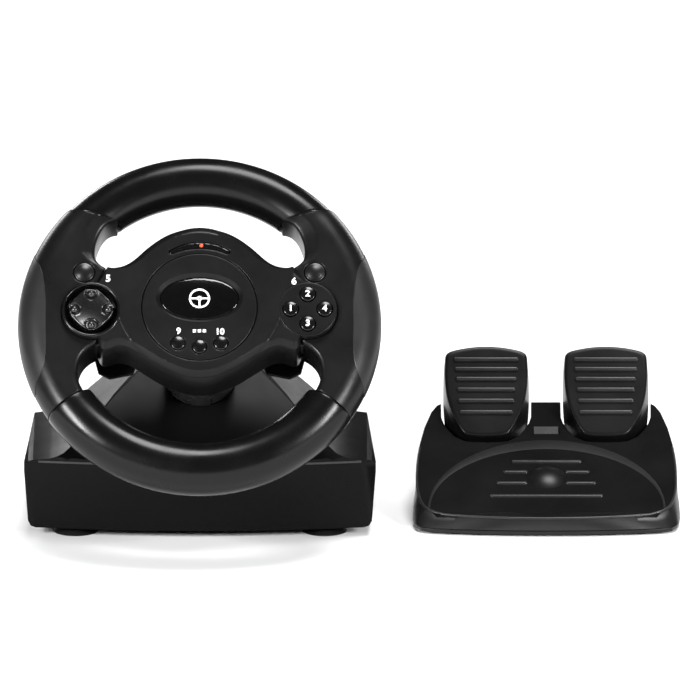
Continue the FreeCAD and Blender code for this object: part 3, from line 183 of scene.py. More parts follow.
def soften(node, width, mat):
    """A copy of a CAD node that stands for it: curves shaded smooth, hard edges rounded over by the width."""
    mesh = frame["nodes"][node].data.copy()
    bm = bmesh.new()
    bm.from_mesh(mesh)
    bmesh.ops.remove_doubles(bm, verts=bm.verts, dist=WELD)
    bmesh.ops.dissolve_limit(bm, angle_limit=FLAT, verts=bm.verts, edges=bm.edges)
    bmesh.ops.recalc_face_normals(bm, faces=bm.faces)
    bm.to_mesh(mesh)
    bm.free()
    mesh.polygons.foreach_set("use_smooth", [True] * len(mesh.polygons))
    mesh.materials.clear()
    mesh.materials.append(mat)
    obj = bpy.data.objects.new(node + "_soft", mesh)
    scene.collection.objects.link(obj)
    if width:
        edge = obj.modifiers.new("rounding", "BEVEL")
        edge.width = width * MM
        edge.segments = 3
        edge.limit_method = "ANGLE"
        edge.angle_limit = CREASE
        edge.use_clamp_overlap = False
        edge.miter_outer = "MITER_ARC"
    else:
        mesh.set_sharp_from_angle(angle=CREASE)
    even = obj.modifiers.new("even_shading", "WEIGHTED_NORMAL")
    even.keep_sharp = not width
    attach(obj, BODY_OF[node])
    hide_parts(node)


for node, width in ROUNDING.items():
    soften(node, width, MAT[CAD_FINISH.get(node, record_slots[node])])


# ---------- mesh tools (millimetres, local frames)
def new_object(name, verts, faces, unit, body, slot, mat, replaces=(), sharp=40.0, smooth=True):
    """Place a mesh given in a unit's own millimetres, and say which body carries it."""
    mesh = bpy.data.meshes.new(name)
    pts = np.asarray(verts, float) * MM
    mesh.from_pydata([tuple(p) for p in pts], [], [tuple(f) for f in faces])
    mesh.validate()
    mesh.transform(unit)
    bm = bmesh.new()
    bm.from_mesh(mesh)
    bmesh.ops.remove_doubles(bm, verts=bm.verts, dist=WELD)
    bmesh.ops.recalc_face_normals(bm, faces=bm.faces)
    bm.to_mesh(mesh)
    bm.free()
    if smooth:
        mesh.polygons.foreach_set("use_smooth", [True] * len(mesh.polygons))
        mesh.set_sharp_from_angle(angle=math.radians(sharp))
    mesh.materials.append(mat)
    obj = bpy.data.objects.new(name, mesh)
    scene.collection.objects.link(obj)
    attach(obj, body)
    if replaces:
        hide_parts(*replaces)


def on_wheel(name, shape, finish, replaces=(), sharp=40, slot=None, body="wheel"):
    """A piece of the wheel unit, its shape given as vertices and faces."""
    new_object(name, *shape, WHEEL, body, slot or finish, MAT[finish], replaces, sharp)


def resample(points, step):
    """Even points along straight runs; the given corners are kept."""
    pts = [np.array(p, float) for p in points]
    out = []
    for a, b in zip(pts, pts[1:]):
        n = max(1, int(round(np.linalg.norm(b - a) / step)))
        out += [a + (b - a) * k / n for k in range(n)]
    return np.array(out + [pts[-1]])


def spline(points, per, closed=False):
    """A smooth curve through points (centripetal Catmull-Rom), with so many points per span."""
    given = np.array(points, float)
    if closed:
        ext = np.vstack([given[-1], given, given[0], given[1]])
    else:
        ext = np.vstack([2 * given[0] - given[1], given, 2 * given[-1] - given[-2]])
    out = []
    for i in range(1, len(ext) - 2):
        p0, p1, p2, p3 = ext[i - 1], ext[i], ext[i + 1], ext[i + 2]
        t0 = 0.0
        spans = ((p0, p1), (p1, p2), (p2, p3))
        t1, t2, t3 = np.cumsum([max(np.linalg.norm(q - p), 1e-9) ** 0.5 for p, q in spans])
        for k in range(per):
            t = t1 + (t2 - t1) * k / per
            a1 = (t1 - t) / (t1 - t0) * p0 + (t - t0) / (t1 - t0) * p1
            a2 = (t2 - t) / (t2 - t1) * p1 + (t - t1) / (t2 - t1) * p2
            a3 = (t3 - t) / (t3 - t2) * p2 + (t - t2) / (t3 - t2) * p3
            b1 = (t2 - t) / (t2 - t0) * a1 + (t - t0) / (t2 - t0) * a2
            b2 = (t3 - t) / (t3 - t1) * a2 + (t - t1) / (t3 - t1) * a3
            out.append((t2 - t) / (t2 - t1) * b1 + (t - t1) / (t2 - t1) * b2)
    if not closed:
        out.append(given[-1])
    return np.array(out)


def arc(cx, cy, r, a0, a1, n):
    """Points on a circle from angle a0 to a1, in degrees, both ends included."""
    t = np.radians(np.linspace(a0, a1, n + 1))
    return np.stack([cx + r * np.cos(t), cy + r * np.sin(t)], 1)


def inside(points, loop):
    """Which points lie inside a closed outline."""
    x, y = points[:, 0][:, None], points[:, 1][:, None]
    x0, y0 = loop[:, 0][None], loop[:, 1][None]
    x1, y1 = np.roll(loop[:, 0], -1)[None], np.roll(loop[:, 1], -1)[None]
    cross = (y0 > y) != (y1 > y)
    dy = np.where(np.abs(y1 - y0) < 1e-12, 1e-12, y1 - y0)
    return (np.sum(cross & (x < (x1 - x0) * (y - y0) / dy + x0), axis=1) % 2) == 1


def loop_normals(loop):
    """Inward normals of an anticlockwise loop."""
    d = np.roll(loop, -1, axis=0) - np.roll(loop, 1, axis=0)
    d /= np.maximum(np.linalg.norm(d, axis=1)[:, None], 1e-9)
    return np.stack([-d[:, 1], d[:, 0]], 1)


def area_of(loop):
    """Signed area, positive for an anticlockwise loop."""
    x, y = loop[:, 0], loop[:, 1]
    return 0.5 * np.sum(x * np.roll(y, -1) - np.roll(x, -1) * y)


def round_drop(d, r):
    """How far a rounded edge of radius r has fallen at distance d from the outline."""
    r = np.maximum(r, 1e-6)
    t = np.clip(1 - d / r, 0, 1)
    return r * (1 - np.sqrt(np.maximum(1 - t * t, 0)))


def flip_z(verts):
    return np.array(verts, float) * (1, 1, -1)


def mirror_x(verts):
    return np.array(verts, float) * (-1, 1, 1)


SIDES = (("right", np.asarray), ("left", mirror_x))


def strip_faces(rows, count):
    """Quads between neighbouring rows of so many points each."""
    return [(r * count + k, r * count + k + 1, (r + 1) * count + k + 1, (r + 1) * count + k)
            for r in range(rows - 1) for k in range(count - 1)]


def lathe(profile, centre, n):
    """Turn (radius, height) pairs about the local z axis."""
    turns = [2 * math.pi * k / n for k in range(n)]
    x, y = centre
    return ring_loft([[(x + r * math.cos(a), y + r * math.sin(a), z) for a in turns] for r, z in profile])


def ring_loft(loops, cap_first=False, cap_last=False):
    """Skin a list of loops of 3-D points, all with the same count."""
    n = len(loops[0])
    faces = [(i * n + k, i * n + (k + 1) % n, (i + 1) * n + (k + 1) % n, (i + 1) * n + k)
             for i in range(len(loops) - 1) for k in range(n)]
    if cap_first:
        faces.append(tuple(range(n - 1, -1, -1)))
    if cap_last:
        faces.append(tuple(range((len(loops) - 1) * n, len(loops) * n)))
    return np.vstack(loops), faces


def merge(*parts):
    """Several (vertices, faces) pairs as one."""
    verts, faces = [], []
    for v, f in parts:
        base = len(verts)
        verts += [tuple(p) for p in v]
        faces += [tuple(i + base for i in face) for face in f]
    return verts, faces


def smoothstep(x, a, b):
    """0 up to a, 1 from b on, and an even curve between."""
    t = np.clip((x - a) / (b - a), 0, 1)
    return t * t * (3 - 2 * t)


CHUNK = 1500  # points measured at a time, to bound the memory used


def open_nearest(points, poly, carried, closed=False):
    """Distance from points to one polyline, and the value carried along it."""
    a = poly if closed else poly[:-1]
    b = np.roll(poly, -1, axis=0) if closed else poly[1:]
    va = carried if closed else carried[:-1]
    vb = np.roll(carried, -1) if closed else carried[1:]
    ab = b - a
    length = np.maximum(np.sum(ab * ab, axis=1), 1e-12)
    dist = np.empty(len(points))
    value = np.empty(len(points))
    for start in range(0, len(points), CHUNK):
        p = points[start:start + CHUNK]
        ap = p[:, None, :] - a[None]
        t = np.clip(np.sum(ap * ab[None], axis=2) / length[None], 0, 1)
        d = np.linalg.norm(ap - t[..., None] * ab[None], axis=2)
        k = np.argmin(d, axis=1)
        row = np.arange(len(p))
        dist[start:start + CHUNK] = d[row, k]
        value[start:start + CHUNK] = va[k] + (vb[k] - va[k]) * t[row, k]
    return dist, value


def run(points, radius, drop=round_drop):
    """One stretch of an outline with its own edge treatment."""
    pts = np.asarray(points, float)
    return [pts, np.broadcast_to(np.asarray(radius, float), (len(pts),)).astype(float).copy(), drop]


PAST_EDGE = 0.9    # one more ring of points lies this far past the rounded edge
EDGE_GUARD = 0.05  # free points closer to an outline than this are dropped
MERGE_CELL = 0.25  # free points that fall in one cell of this size become one
TOUCH = 1e-4       # walls lower than this are left out


def pillow(runs, top, floor, holes=(), grid=3.5, rings=7, extra=None):
    """A shell piece over a closed outline made of runs: a free top surface, shaped down at each run's
    edge in its own way, and a wall down to the floor level. Returns vertices and faces."""
    whole = np.vstack([r[0][:-1] for r in runs])
    if area_of(whole) < 0:
        runs = [[r[0][::-1], r[1][::-1], r[2]] for r in reversed(runs)]
        whole = np.vstack([r[0][:-1] for r in runs])
    whole_r = np.concatenate([r[1][:-1] for r in runs])
    groups = [(r[0], r[1], r[2], False) for r in runs]
    loops = [(whole, whole_r)]
    for hole, radius, *how in holes:
        hole = np.asarray(hole, float)
        if area_of(hole) > 0:
            hole = hole[::-1]
        carried = np.full(len(hole), float(radius))
        groups.append((hole, carried, how[0] if how else round_drop, True))
        loops.append((hole, carried))

    def measure(pts):
        return [open_nearest(pts, g[0], g[1], g[3]) for g in groups]

    clouds = []
    for loop, r in loops:
        normal = loop_normals(loop)
        for k in range(1, rings + 1):
            phi = math.radians(90.0 * k / rings)
            clouds.append(loop + normal * (r * (1 - math.cos(phi)))[:, None])
        clouds.append(loop + normal * (r + PAST_EDGE)[:, None])
    if extra is not None:
        clouds.append(np.asarray(extra, float))
    low, high = whole.min(0), whole.max(0)
    gx, gy = np.meshgrid(np.arange(low[0], high[0] + grid, grid),
                         np.arange(low[1], high[1] + grid, grid * 0.866))
    gx[1::2] += grid / 2
    cells = np.stack([gx.ravel(), gy.ravel()], 1)
    cells = cells[inside(cells, whole)]
    if len(cells):
        fits = np.ones(len(cells), bool)
        for d, r in measure(cells):
            fits &= d > np.minimum(r, 3.0) + 0.4 * grid
        clouds.append(cells[fits])
    free = np.vstack(clouds)
    keep = inside(free, whole)
    for hole, _ in loops[1:]:
        keep &= ~inside(free, hole)
    free = free[keep]
    near = np.min(np.stack([d for d, _ in measure(free)]), axis=0)
    free = free[near > EDGE_GUARD]
    key = np.round(free / MERGE_CELL).astype(int)
    first = np.unique(key, axis=0, return_index=True)[1]
    free = free[np.sort(first)]
    every = np.vstack([loop for loop, _ in loops] + [free])
    edges = []
    start = 0
    for loop, _ in loops:
        n = len(loop)
        edges += [(start + i, start + (i + 1) % n) for i in range(n)]
        start += n
    out = delaunay_2d_cdt([Vector(p) for p in every], edges, [], 0, 1e-6)
    pts = np.array([tuple(v) for v in out[0]])
    tris = np.array([f for f in out[2] if len(f) == 3])
    centre = pts[tris].mean(axis=1)
    ok = inside(centre, whole)
    for hole, _ in loops[1:]:
        ok &= ~inside(centre, hole)
    tris = tris[ok]
    fall = np.zeros(len(pts))
    for (d, r), g in zip(measure(pts), groups):
        fall = np.maximum(fall, g[2](d, r))
    z = np.maximum(top(pts) - fall, floor)
    verts = [tuple(v) for v in np.column_stack([pts, z])]
    faces = [tuple(int(i) for i in t) for t in tris]
    back = {}
    for i, orig in enumerate(out[3]):
        for o in orig:
            back[o] = i
    start = 0
    for loop, _ in loops:
        n = len(loop)
        ids = [back.get(start + i) for i in range(n)]
        foot = {}
        for i in ids:
            if i is not None and i not in foot:
                foot[i] = len(verts)
                verts.append((verts[i][0], verts[i][1], floor))
        for i in range(n):
            a, b = ids[i], ids[(i + 1) % n]
            if a is None or b is None or a == b:
                continue
            if max(verts[a][2], verts[b][2]) <= floor + TOUCH:
                continue
            faces.append((a, b, foot[b], foot[a]))
        start += n
    return verts, faces


# ---------- rim (x, s, n millimetres about the rim centre)
RIM_R, SHELL_TUBE = 107.5, 17.5      # spoke shells: circle through the tube's middle, tube radius
GRIP_R, UPPER_TUBE, LOWER_TUBE = 107.0, 17.0, 18.2
SEAM_POINT = np.array((74.3, 77.5))  # the upper seam is a slanted line, the lower one runs to the centre
SEAM_WAY = np.array((0.962, 0.272))
LOWER_SEAM = 326.4 - 360
POD = np.array((74.5, 3.4))
POD_SEAM = 20.8
THUMB = np.array((79.5, 32.8))
SHELL_R = RIM_R + SHELL_TUBE


def on_seam(radius):
    """The point where the upper seam line crosses a circle about the rim centre."""
    along = SEAM_POINT @ SEAM_WAY
    gap = along * along - SEAM_POINT @ SEAM_POINT + radius * radius
    return SEAM_POINT + SEAM_WAY * (-along + math.sqrt(max(gap, 0)))


def seam_angle(radius):
    x, y = on_seam(radius)
    return math.degrees(math.atan2(y, x))


def facet_drop(d, width):
    """A sloping facet of carried width beside an opening, with a crisp rounded lip."""
    slope, soft, lip = 0.27, 0.6, 2.0
    line = np.maximum(width - d, 0) * slope
    near = np.abs(width - d) < soft
    line = np.where(near, (width + soft - d) ** 2 / (4 * soft) * slope, line)
    return line + round_drop(d, np.full(len(d), lip))


def tube_ring(tube, count, angle_at):
    """One ring round a grip, at an angle that may change with the distance from the centre."""
    row = []
    for k in range(count):
        phi = 2 * math.pi * k / count
        rho = GRIP_R + tube * math.cos(phi)
        angle = angle_at(rho)
        row.append((rho * math.cos(angle), rho * math.sin(angle), tube * math.sin(phi)))
    return np.array(row)


def upper_grip_mesh():
    """The upper grip: its rings turn gradually into the plane of the slanted seam."""
    end = [(0.992, UPPER_TUBE - 0.15), (1.0, UPPER_TUBE - 0.9), (1.012, UPPER_TUBE - 3)]
    shares = ([(-f, tube) for f, tube in reversed(end)]
              + [(f, UPPER_TUBE) for f in np.linspace(-0.985, 0.985, 90)] + end)
    rows = [tube_ring(tube, 56, lambda rho, f=f: math.radians(90 - (90 - seam_angle(rho)) * f))
            for f, tube in shares]
    return ring_loft(rows, True, True)


def lower_grip_mesh():
    """The lower grip, from the right seam round to the left one, its ends let into the spoke shells."""
    end = [(LOWER_SEAM + 0.25, LOWER_TUBE - 3), (LOWER_SEAM - 0.02, LOWER_TUBE - 0.8),
           (LOWER_SEAM - 0.5, LOWER_TUBE - 0.12)]
    middle = np.linspace(LOWER_SEAM - 1.0, -180 - (LOWER_SEAM - 1.0), 90)
    turns = end + [(a, LOWER_TUBE) for a in middle] + [(-180 - a, tube) for a, tube in reversed(end)]
    return ring_loft([tube_ring(tube, 60, lambda rho, a=a: math.radians(a)) for a, tube in turns], True, True)


on_wheel("upper_grip_skin", upper_grip_mesh(), "grip_rubber", ["upper_grip"])
on_wheel("lower_grip_skin", lower_grip_mesh(), "grip_rubber", ["lower_grip"])

# the spoke shells' outline: their two corners at the hub, the seams and the edges between
HUB_HIGH, HUB_LOW = (64.7, 36.5), (70.0, -16.9)
SEAM_IN_R, LOWER_IN_R = 92.1, 96.2
lower_out = np.array([math.cos(math.radians(LOWER_SEAM)), math.sin(math.radians(LOWER_SEAM))]) * SHELL_R
lower_in = lower_out * (LOWER_IN_R / SHELL_R)
high_edge = spline([HUB_HIGH, (68.9, 39.6), (71.4, 43.4), (72.2, 48.4), (71.6, 54.6), (69.9, 60.2),
                    (67.4, 65.6), (64.2, 69.6), (60.6, 71.8), (56.6, 72.5)], 5)
high_width = np.interp(np.linspace(0, 9, len(high_edge)), [0, 1, 2, 3, 5, 6, 7, 8, 9],
                       [0.6, 1.2, 5, 9, 11, 10.5, 9, 7, 6])
low_edge = spline([tuple(lower_in), (82.4, -48.4), (83.6, -42.8), (83.5, -37), (82.3, -31.6), (79.8, -26.8),
                   (75.8, -22.6), (70.9, -19.2), HUB_LOW], 5)
pod_side = arc(POD[0], POD[1], POD_SEAM, -102.5, 99.7, 44)
rim_side = arc(0, 0, SHELL_R, LOWER_SEAM, seam_angle(SHELL_R), 60)
shell_runs = [
    run(resample([on_seam(SEAM_IN_R), on_seam(SHELL_R)], 2.4), 0.7),
    run(rim_side[::-1], SHELL_TUBE),
    run(resample([lower_out, lower_in], 2.4), 0.7),
    run(low_edge, np.linspace(4.5, 2.0, len(low_edge))),
    run(pod_side, 0.55),
    run(resample([tuple(pod_side[-1]), HUB_HIGH], 1.5), 0.55),
    run(high_edge, high_width, facet_drop),
]


def joined(runs):
    """Make each run end exactly where the next one starts."""
    for i, r in enumerate(runs):
        r[0][-1] = runs[(i + 1) % len(runs)][0][0]
    return runs


def level(height):
    return lambda pts: np.full(len(pts), float(height))


def circle(centre, radius, count):
    return arc(centre[0], centre[1], radius, 0, 360, count)[:-1]


thumb_hole = (circle(THUMB, 7.5, 48), 0.8)
front = pillow(joined(shell_runs), level(SHELL_TUBE), 0.0, [thumb_hole], grid=2.6, rings=9)
back_runs = [[r[0], np.where(r[1] > 12, SHELL_TUBE, np.where(r[2] is facet_drop, 6.0, np.maximum(r[1], 0.7))),
              round_drop] for r in shell_runs]
back = pillow(back_runs, level(SHELL_TUBE), 0.0, grid=3.2, rings=8)
for side, turn in SIDES:
    for node, (verts, faces) in (("_spoke_front", front), ("_spoke_back", (flip_z(back[0]), back[1]))):
        on_wheel(side + node + "_skin", (turn(verts), faces), "shell_dark", [side + node], 34)

# the spokes lap behind the hub, so the joint is closed from the front
lap_loop = np.array([(64, -13), (65.6, -24.2), (67.4, -23.4), (69.6, -20.4), (72.2, -20.2), (74.6, -21.6),
                     (74.5, -13), (64, -13)], float)
lap = pillow([run(resample(part, 1.2), 0.8) for part in (lap_loop[:7], lap_loop[6:])], level(14.0), -2.0,
             grid=2.0, rings=4)
for side, turn in SIDES:
    on_wheel(side + "_spoke_lap", (turn(lap[0]), lap[1]), "shell_dark")

# the lighter side inserts: a skin just proud of the shell, with a bowed inner edge
INSERT_PROUD, INSERT_LIP = 0.3, -0.35  # how far the skin stands off the shell, within and at its outline
INSERT_EDGE = np.array([(-25.0, 2), (-24.4, 20), (-22.0, 50), (-19.7, 69), (-16.7, 81), (-12, 91), (-6.8, 96.5),
                        (0, 98.5), (4.5, 98.3), (7.8, 95), (14.5, 82), (19.8, 61.6), (22.6, 34), (23.8, 12),
                        (24.2, 2)])
INSERT_SPAN = (60, 40)  # points along the rim and round the tube


def insert_mesh():
    """A strip round the outside of the tube; INSERT_EDGE gives its reach at each angle along the rim."""
    along_rim, round_tube = INSERT_SPAN
    angles = np.linspace(INSERT_EDGE[0, 0], INSERT_EDGE[-1, 0], along_rim)
    reach = np.interp(angles, INSERT_EDGE[:, 0], INSERT_EDGE[:, 1])
    reach = np.convolve(np.pad(reach, 3, mode="edge"), np.ones(7) / 7, mode="valid")
    behind = 70.0 * np.sqrt(np.maximum(1 - ((angles + 0.4) / 24.6) ** 2, 0.0))
    verts = []
    for a, front_reach, back_reach in zip(np.radians(angles), reach, behind):
        for k, phi in enumerate(np.radians(np.linspace(-back_reach, front_reach, round_tube))):
            tube = SHELL_TUBE + (INSERT_LIP if k in (0, round_tube - 1) else INSERT_PROUD)
            rho = RIM_R + tube * math.cos(phi)
            verts.append((rho * math.cos(a), rho * math.sin(a), tube * math.sin(phi)))
    turned = strip_faces(along_rim, round_tube)
    return verts, [(a, d, c, b) for a, b, c, d in turned]


insert = insert_mesh()
for side, turn in SIDES:
    on_wheel(side + "_insert_skin", (turn(insert[0]), insert[1]), "shell_grey", [side + "_side_insert"], 30)

# ---------- hub
FACE = 22.0  # height of the hub's face above the rim's middle plane
BEVEL_FALL = 4.0
PANEL, PANEL_R = np.array((0.0, 5.2)), 39.6
BADGE, BADGE_HALF = np.array((0.0, 11.9)), (27.0, 15.3)
POD_HOLE, POD_WALL, POD_R = 19.7, 20.4, 20.25
CREASE_MIDDLE, CREASE_R = (0, 14.0), (57.2, 57.8, 58.4)
upper_wall = spline([HUB_HIGH, (60.5, 36.0), (55, 36.6), (50, 38.5), (45, 42.0), (37, 49.6), (31.5, 54.2),
                     (25, 58.7), (19.5, 61.5), (13.3, 63.6), (7, 65.3), (0, 66.0)], 4)
upper_width = np.interp(np.linspace(0, 11, len(upper_wall)), [0, 2, 4, 11], [0.8, 3.2, 4.2, 5.2])
lower_wall = spline([HUB_LOW, (68.6, -22.0), (66.4, -25.0), (61.8, -24.2), (56.1, -22.3), (50.2, -23.2),
                     (43, -27.2), (35, -32.6), (25, -38.8), (14, -43.6), (7, -45.5), (0, -46.1)], 4)
lower_width = np.interp(np.linspace(0, 11, len(lower_wall)), [0, 1, 2, 4, 11], [0.8, 3.5, 5.5, 4.6, 4.0])
pod_wall = arc(POD[0], POD[1], POD_WALL, -102.5, 99.7, 40)


def mirrored(points):
    """The outline's other half, run through in the opposite direction."""
    return np.asarray(points, float)[::-1] * (-1, 1)


def hub_bevel(d, width):
    """The hub's bevel falls by a fixed height over the carried width."""
    t = np.clip(1 - d / np.maximum(width, 0.8), 0, 1)
    corner = 0.12  # share of the bevel that turns it into the face
    soft = np.where(t < corner, t * t / (2 * corner), t - corner / 2)
    return BEVEL_FALL * soft + round_drop(d, np.full(len(d), 0.6)) * 0.8


def hub_runs(drop, scale=1.0):
    """The hub's outline: the upper edge, the left pod, the lower edge and the right pod."""
    above = np.vstack([upper_wall, mirrored(upper_wall)[1:]])
    below = np.vstack([mirrored(lower_wall)[::-1], lower_wall[::-1][1:]])
    return joined([
        run(above, np.concatenate([upper_width, upper_width[::-1][1:]]) * scale, drop),
        run(mirrored(pod_wall), scale),
        run(below, np.concatenate([lower_width, lower_width[::-1][1:]]) * scale, drop),
        run(pod_wall, scale),
    ])


def slot_line(grow):
    """The lamp slot above the panel: a shallow arch with round ends."""
    top_arc = arc(0, 16.3, 37.5 + grow, 57.8, 122.2, 26)
    low_arc = arc(0, 2.5, 46.0 - grow, 114.0, 66.0, 24)
    left, right = (arc(side * 19.35, 46.3, 1.85 + grow, *turn, 8)[1:-1]
                   for side, turn in ((-1, (112, 288)), (1, (-108, 68))))
    return np.vstack([top_arc, left, low_arc, right])


def ellipse(centre, a, b, n):
    t = np.linspace(0, 2 * math.pi, n, endpoint=False)
    return np.stack([centre[0] + a * np.cos(t), centre[1] + b * np.sin(t)], 1)


def hub_top(pts):
    """The face is level, with a shallow crease where the pods meet the round middle."""
    rho = np.hypot(pts[:, 0], pts[:, 1] - CREASE_MIDDLE[1])
    step = smoothstep(rho, CREASE_R[0], CREASE_R[-1]) * smoothstep(-pts[:, 1], -12, 6)
    return FACE - 0.45 * step


hub_holes = [
    (circle(PANEL, PANEL_R + 0.35, 120), 0.7),
    (circle(POD * (-1, 1), POD_HOLE, 72), 0.3),
    (circle(POD, POD_HOLE, 72), 0.3),
    (slot_line(0), 0.6),
]
crease = [arc(*CREASE_MIDDLE, r, a, b, 30) for r in CREASE_R for a, b in ((-62, -2), (182, 242))]
hub_cover = pillow(hub_runs(hub_bevel), hub_top, 2.0, hub_holes, grid=2.8, rings=6, extra=np.vstack(crease))
on_wheel("hub_front_skin", hub_cover, "hub_satin", ["hub_front_cover"], 32, "shell_dark")
hub_back = pillow(hub_runs(round_drop, 1.6), level(20.0), -1.9, grid=3.5, rings=6)
on_wheel("hub_back_skin", (flip_z(hub_back[0]), hub_back[1]), "hub_satin", ["hub_back_cover"], 32, "shell_dark")

# ---------- hub fittings
AXIS = 0.001  # a turned piece starts this close to its axis


def dome_profile(radius, low, tip, crown, lip=0.9):
    """A button: a wall, a rounded lip and a shallow dome of the given crown height."""
    rows = [(AXIS, tip)]
    flat = radius - lip
    for t in np.linspace(0.12, 1.0, 9):
        rows.append((flat * t, tip - (crown - 0.25 * lip) * t * t))
    start = rows[-1][1]
    for a in np.radians(np.linspace(20, 90, 6)):
        rows.append((flat + lip * math.sin(a), start - lip * (1 - math.cos(a)) * 0.9))
    return rows + [(radius, tip - crown - 1.2), (radius, low)]


def glyphs(name, text, size, at, height, body, weight):
    """A printed numeral: thin raised lettering, centred at (x, s)."""
    curve = bpy.data.curves.new(name + "_text", "FONT")
    curve.body = text
    curve.align_x = "CENTER"
    curve.align_y = "CENTER"
    curve.size = size
    curve.offset = weight * size
    curve.extrude = 0.06
    curve.resolution_u = 6
    holder = bpy.data.objects.new(name + "_holder", curve)
    scene.collection.objects.link(holder)
    bpy.context.view_layer.update()
    flat = bpy.data.meshes.new_from_object(holder)
    pts = np.array([tuple(v.co) for v in flat.vertices])
    faces = [tuple(p.vertices) for p in flat.polygons]
    bpy.data.objects.remove(holder)
    bpy.data.curves.remove(curve)
    bpy.data.meshes.remove(flat)
    middle = (pts.min(0) + pts.max(0)) / 2
    pts += (at[0] - middle[0], at[1] - middle[1], height)
    new_object(name, pts, faces, WHEEL, body, "label_grey", MAT["print_white"], smooth=False)


def stroke(name, line, width, height, closed=False, thick=0.12):
    """A printed line of even width along points (x, s)."""
    line = np.asarray(line, float)
    ahead = np.roll(line, -1, axis=0) - np.roll(line, 1, axis=0)
    if not closed:
        ahead[0], ahead[-1] = line[1] - line[0], line[-1] - line[-2]
    ahead /= np.linalg.norm(ahead, axis=1)[:, None]
    side = np.stack([-ahead[:, 1], ahead[:, 0]], 1) * width / 2
    level_top = np.full((len(line), 1), height)
    level_low = np.full((len(line), 1), height - thick)
    rails = [np.hstack([line + side, level_low]), np.hstack([line + side, level_top]),
             np.hstack([line - side, level_top]), np.hstack([line - side, level_low])]
    verts = np.vstack(rails)
    n = len(line)
    faces = []
    for i in range(n if closed else n - 1):
        q = (i + 1) % n
        for r in range(3):
            faces.append((r * n + i, r * n + q, (r + 1) * n + q, (r + 1) * n + i))
    new_object(name, verts, faces, WHEEL, "wheel", "label_grey", MAT["print_white"], smooth=False)


CENTRE_SPOTS = {"button_9": (-14.8, -21.9), "button_mode": (0.0, -24.6), "button_10": (14.8, -21.9)}
POD_STEP = {"button_1": (-11.7, 0), "button_2": (0, 11.0), "button_3": (0, -11.0), "button_4": (11.7, 0)}


def badge_bevel(d, width):
    """The recess round the badge: an even slope down to the lens."""
    return 2.3 * np.clip(1 - d / width, 0, 1)


def halves(loop, radius):
    """A closed line of points as two runs with the same edge."""
    half = len(loop) // 2
    return [run(loop[:half + 1], radius), run(loop[half:], radius)]


def closed_line(loop):
    return np.vstack([loop, loop[:1]])


panel_holes = [(ellipse(BADGE + (0, 0.3), BADGE_HALF[0] + 0.3, BADGE_HALF[1] + 0.3, 96), 2.7, badge_bevel)]
panel_holes += [(circle(at, 5.25, 40), 0.5) for at in CENTRE_SPOTS.values()]
panel = pillow(halves(arc(*PANEL, PANEL_R, 0, 360, 120), 0.8), level(FACE + 0.25), 17.0, panel_holes,
               grid=2.6, rings=5)
on_wheel("hub_panel_skin", panel, "hub_satin", ["hub_panel"], 30, "shell_dark")


def lens_top(pts):
    q = ((pts[:, 0] - BADGE[0]) / BADGE_HALF[0]) ** 2 + ((pts[:, 1] - BADGE[1]) / BADGE_HALF[1]) ** 2
    return 20.6 + 1.5 * (1 - q)


lens = pillow(halves(closed_line(ellipse(BADGE, *BADGE_HALF, 96)), 0.5), lens_top, 19.0, grid=1.8, rings=4)
on_wheel("badge_skin", lens, "gloss_black", ["badge_lens"], 50)

MARK = BADGE + (0, -0.5)
mark_top = lens_top(np.array([MARK]))[0] + 0.05
stroke("badge_mark_ring", ellipse(MARK, 6.6, 6.6, 64), 1.3, mark_top, closed=True)
stroke("badge_mark_hub", ellipse(MARK, 1.1, 1.1, 24), 1.3, mark_top + 0.02, closed=True)
for index, angle in enumerate((0, 180, 270)):
    way = np.array([math.cos(math.radians(angle)), math.sin(math.radians(angle))])
    stroke("badge_mark_spoke_%d" % index, resample([MARK + way * 1.6, MARK + way * 6.1], 2), 1.2,
           mark_top + 0.01)

# status lamp and its slot
window = pillow(halves(closed_line(slot_line(-0.35)), 0.5), level(FACE - 0.9), 18.5, grid=1.6, rings=4)
on_wheel("led_window_skin", window, "smoke", ["led_window"])
VENT = [(AXIS, 21.30), (0.34, 21.25), (0.40, 21.05)]
LAMP_DOME = [(AXIS, 22.35), (0.5, 22.25), (0.95, 21.9), (1.15, 21.4), (1.15, 20.2)]
LAMP_COLLAR = [(1.2, 20.9), (1.25, 21.55), (1.6, 21.6), (1.75, 21.3), (1.75, 20.9)]
LAMP = (1.2, 51.1)  # its place on the hub's face
for index, spot in enumerate(arc(0, 2.5, 47.6, 67.5, 112.5, 24)):
    on_wheel("slot_vent_%02d" % index, lathe(VENT, spot, 10), "smoke", sharp=60)
on_wheel("status_led_skin", lathe(LAMP_DOME, LAMP, 28), "lamp_red", ["status_led"], 60)
on_wheel("status_led_collar", lathe(LAMP_COLLAR, LAMP, 28), "smoke")

# buttons: radius, foot, tip and crown of each kind of cap
CENTRE_CAP = dome_profile(4.95, 17.0, 23.7, 0.9)
POD_CAP = dome_profile(5.25, 17.6, 24.1, 0.8)
THUMB_CAP = dome_profile(7.2, 12.5, 19.5, 1.7, 1.3)


def cap(node, profile, at, count, finish="cap_black"):
    on_wheel(node + "_cap", lathe(profile, at, count), finish, [node], 50, "cap_black", node + "_body")


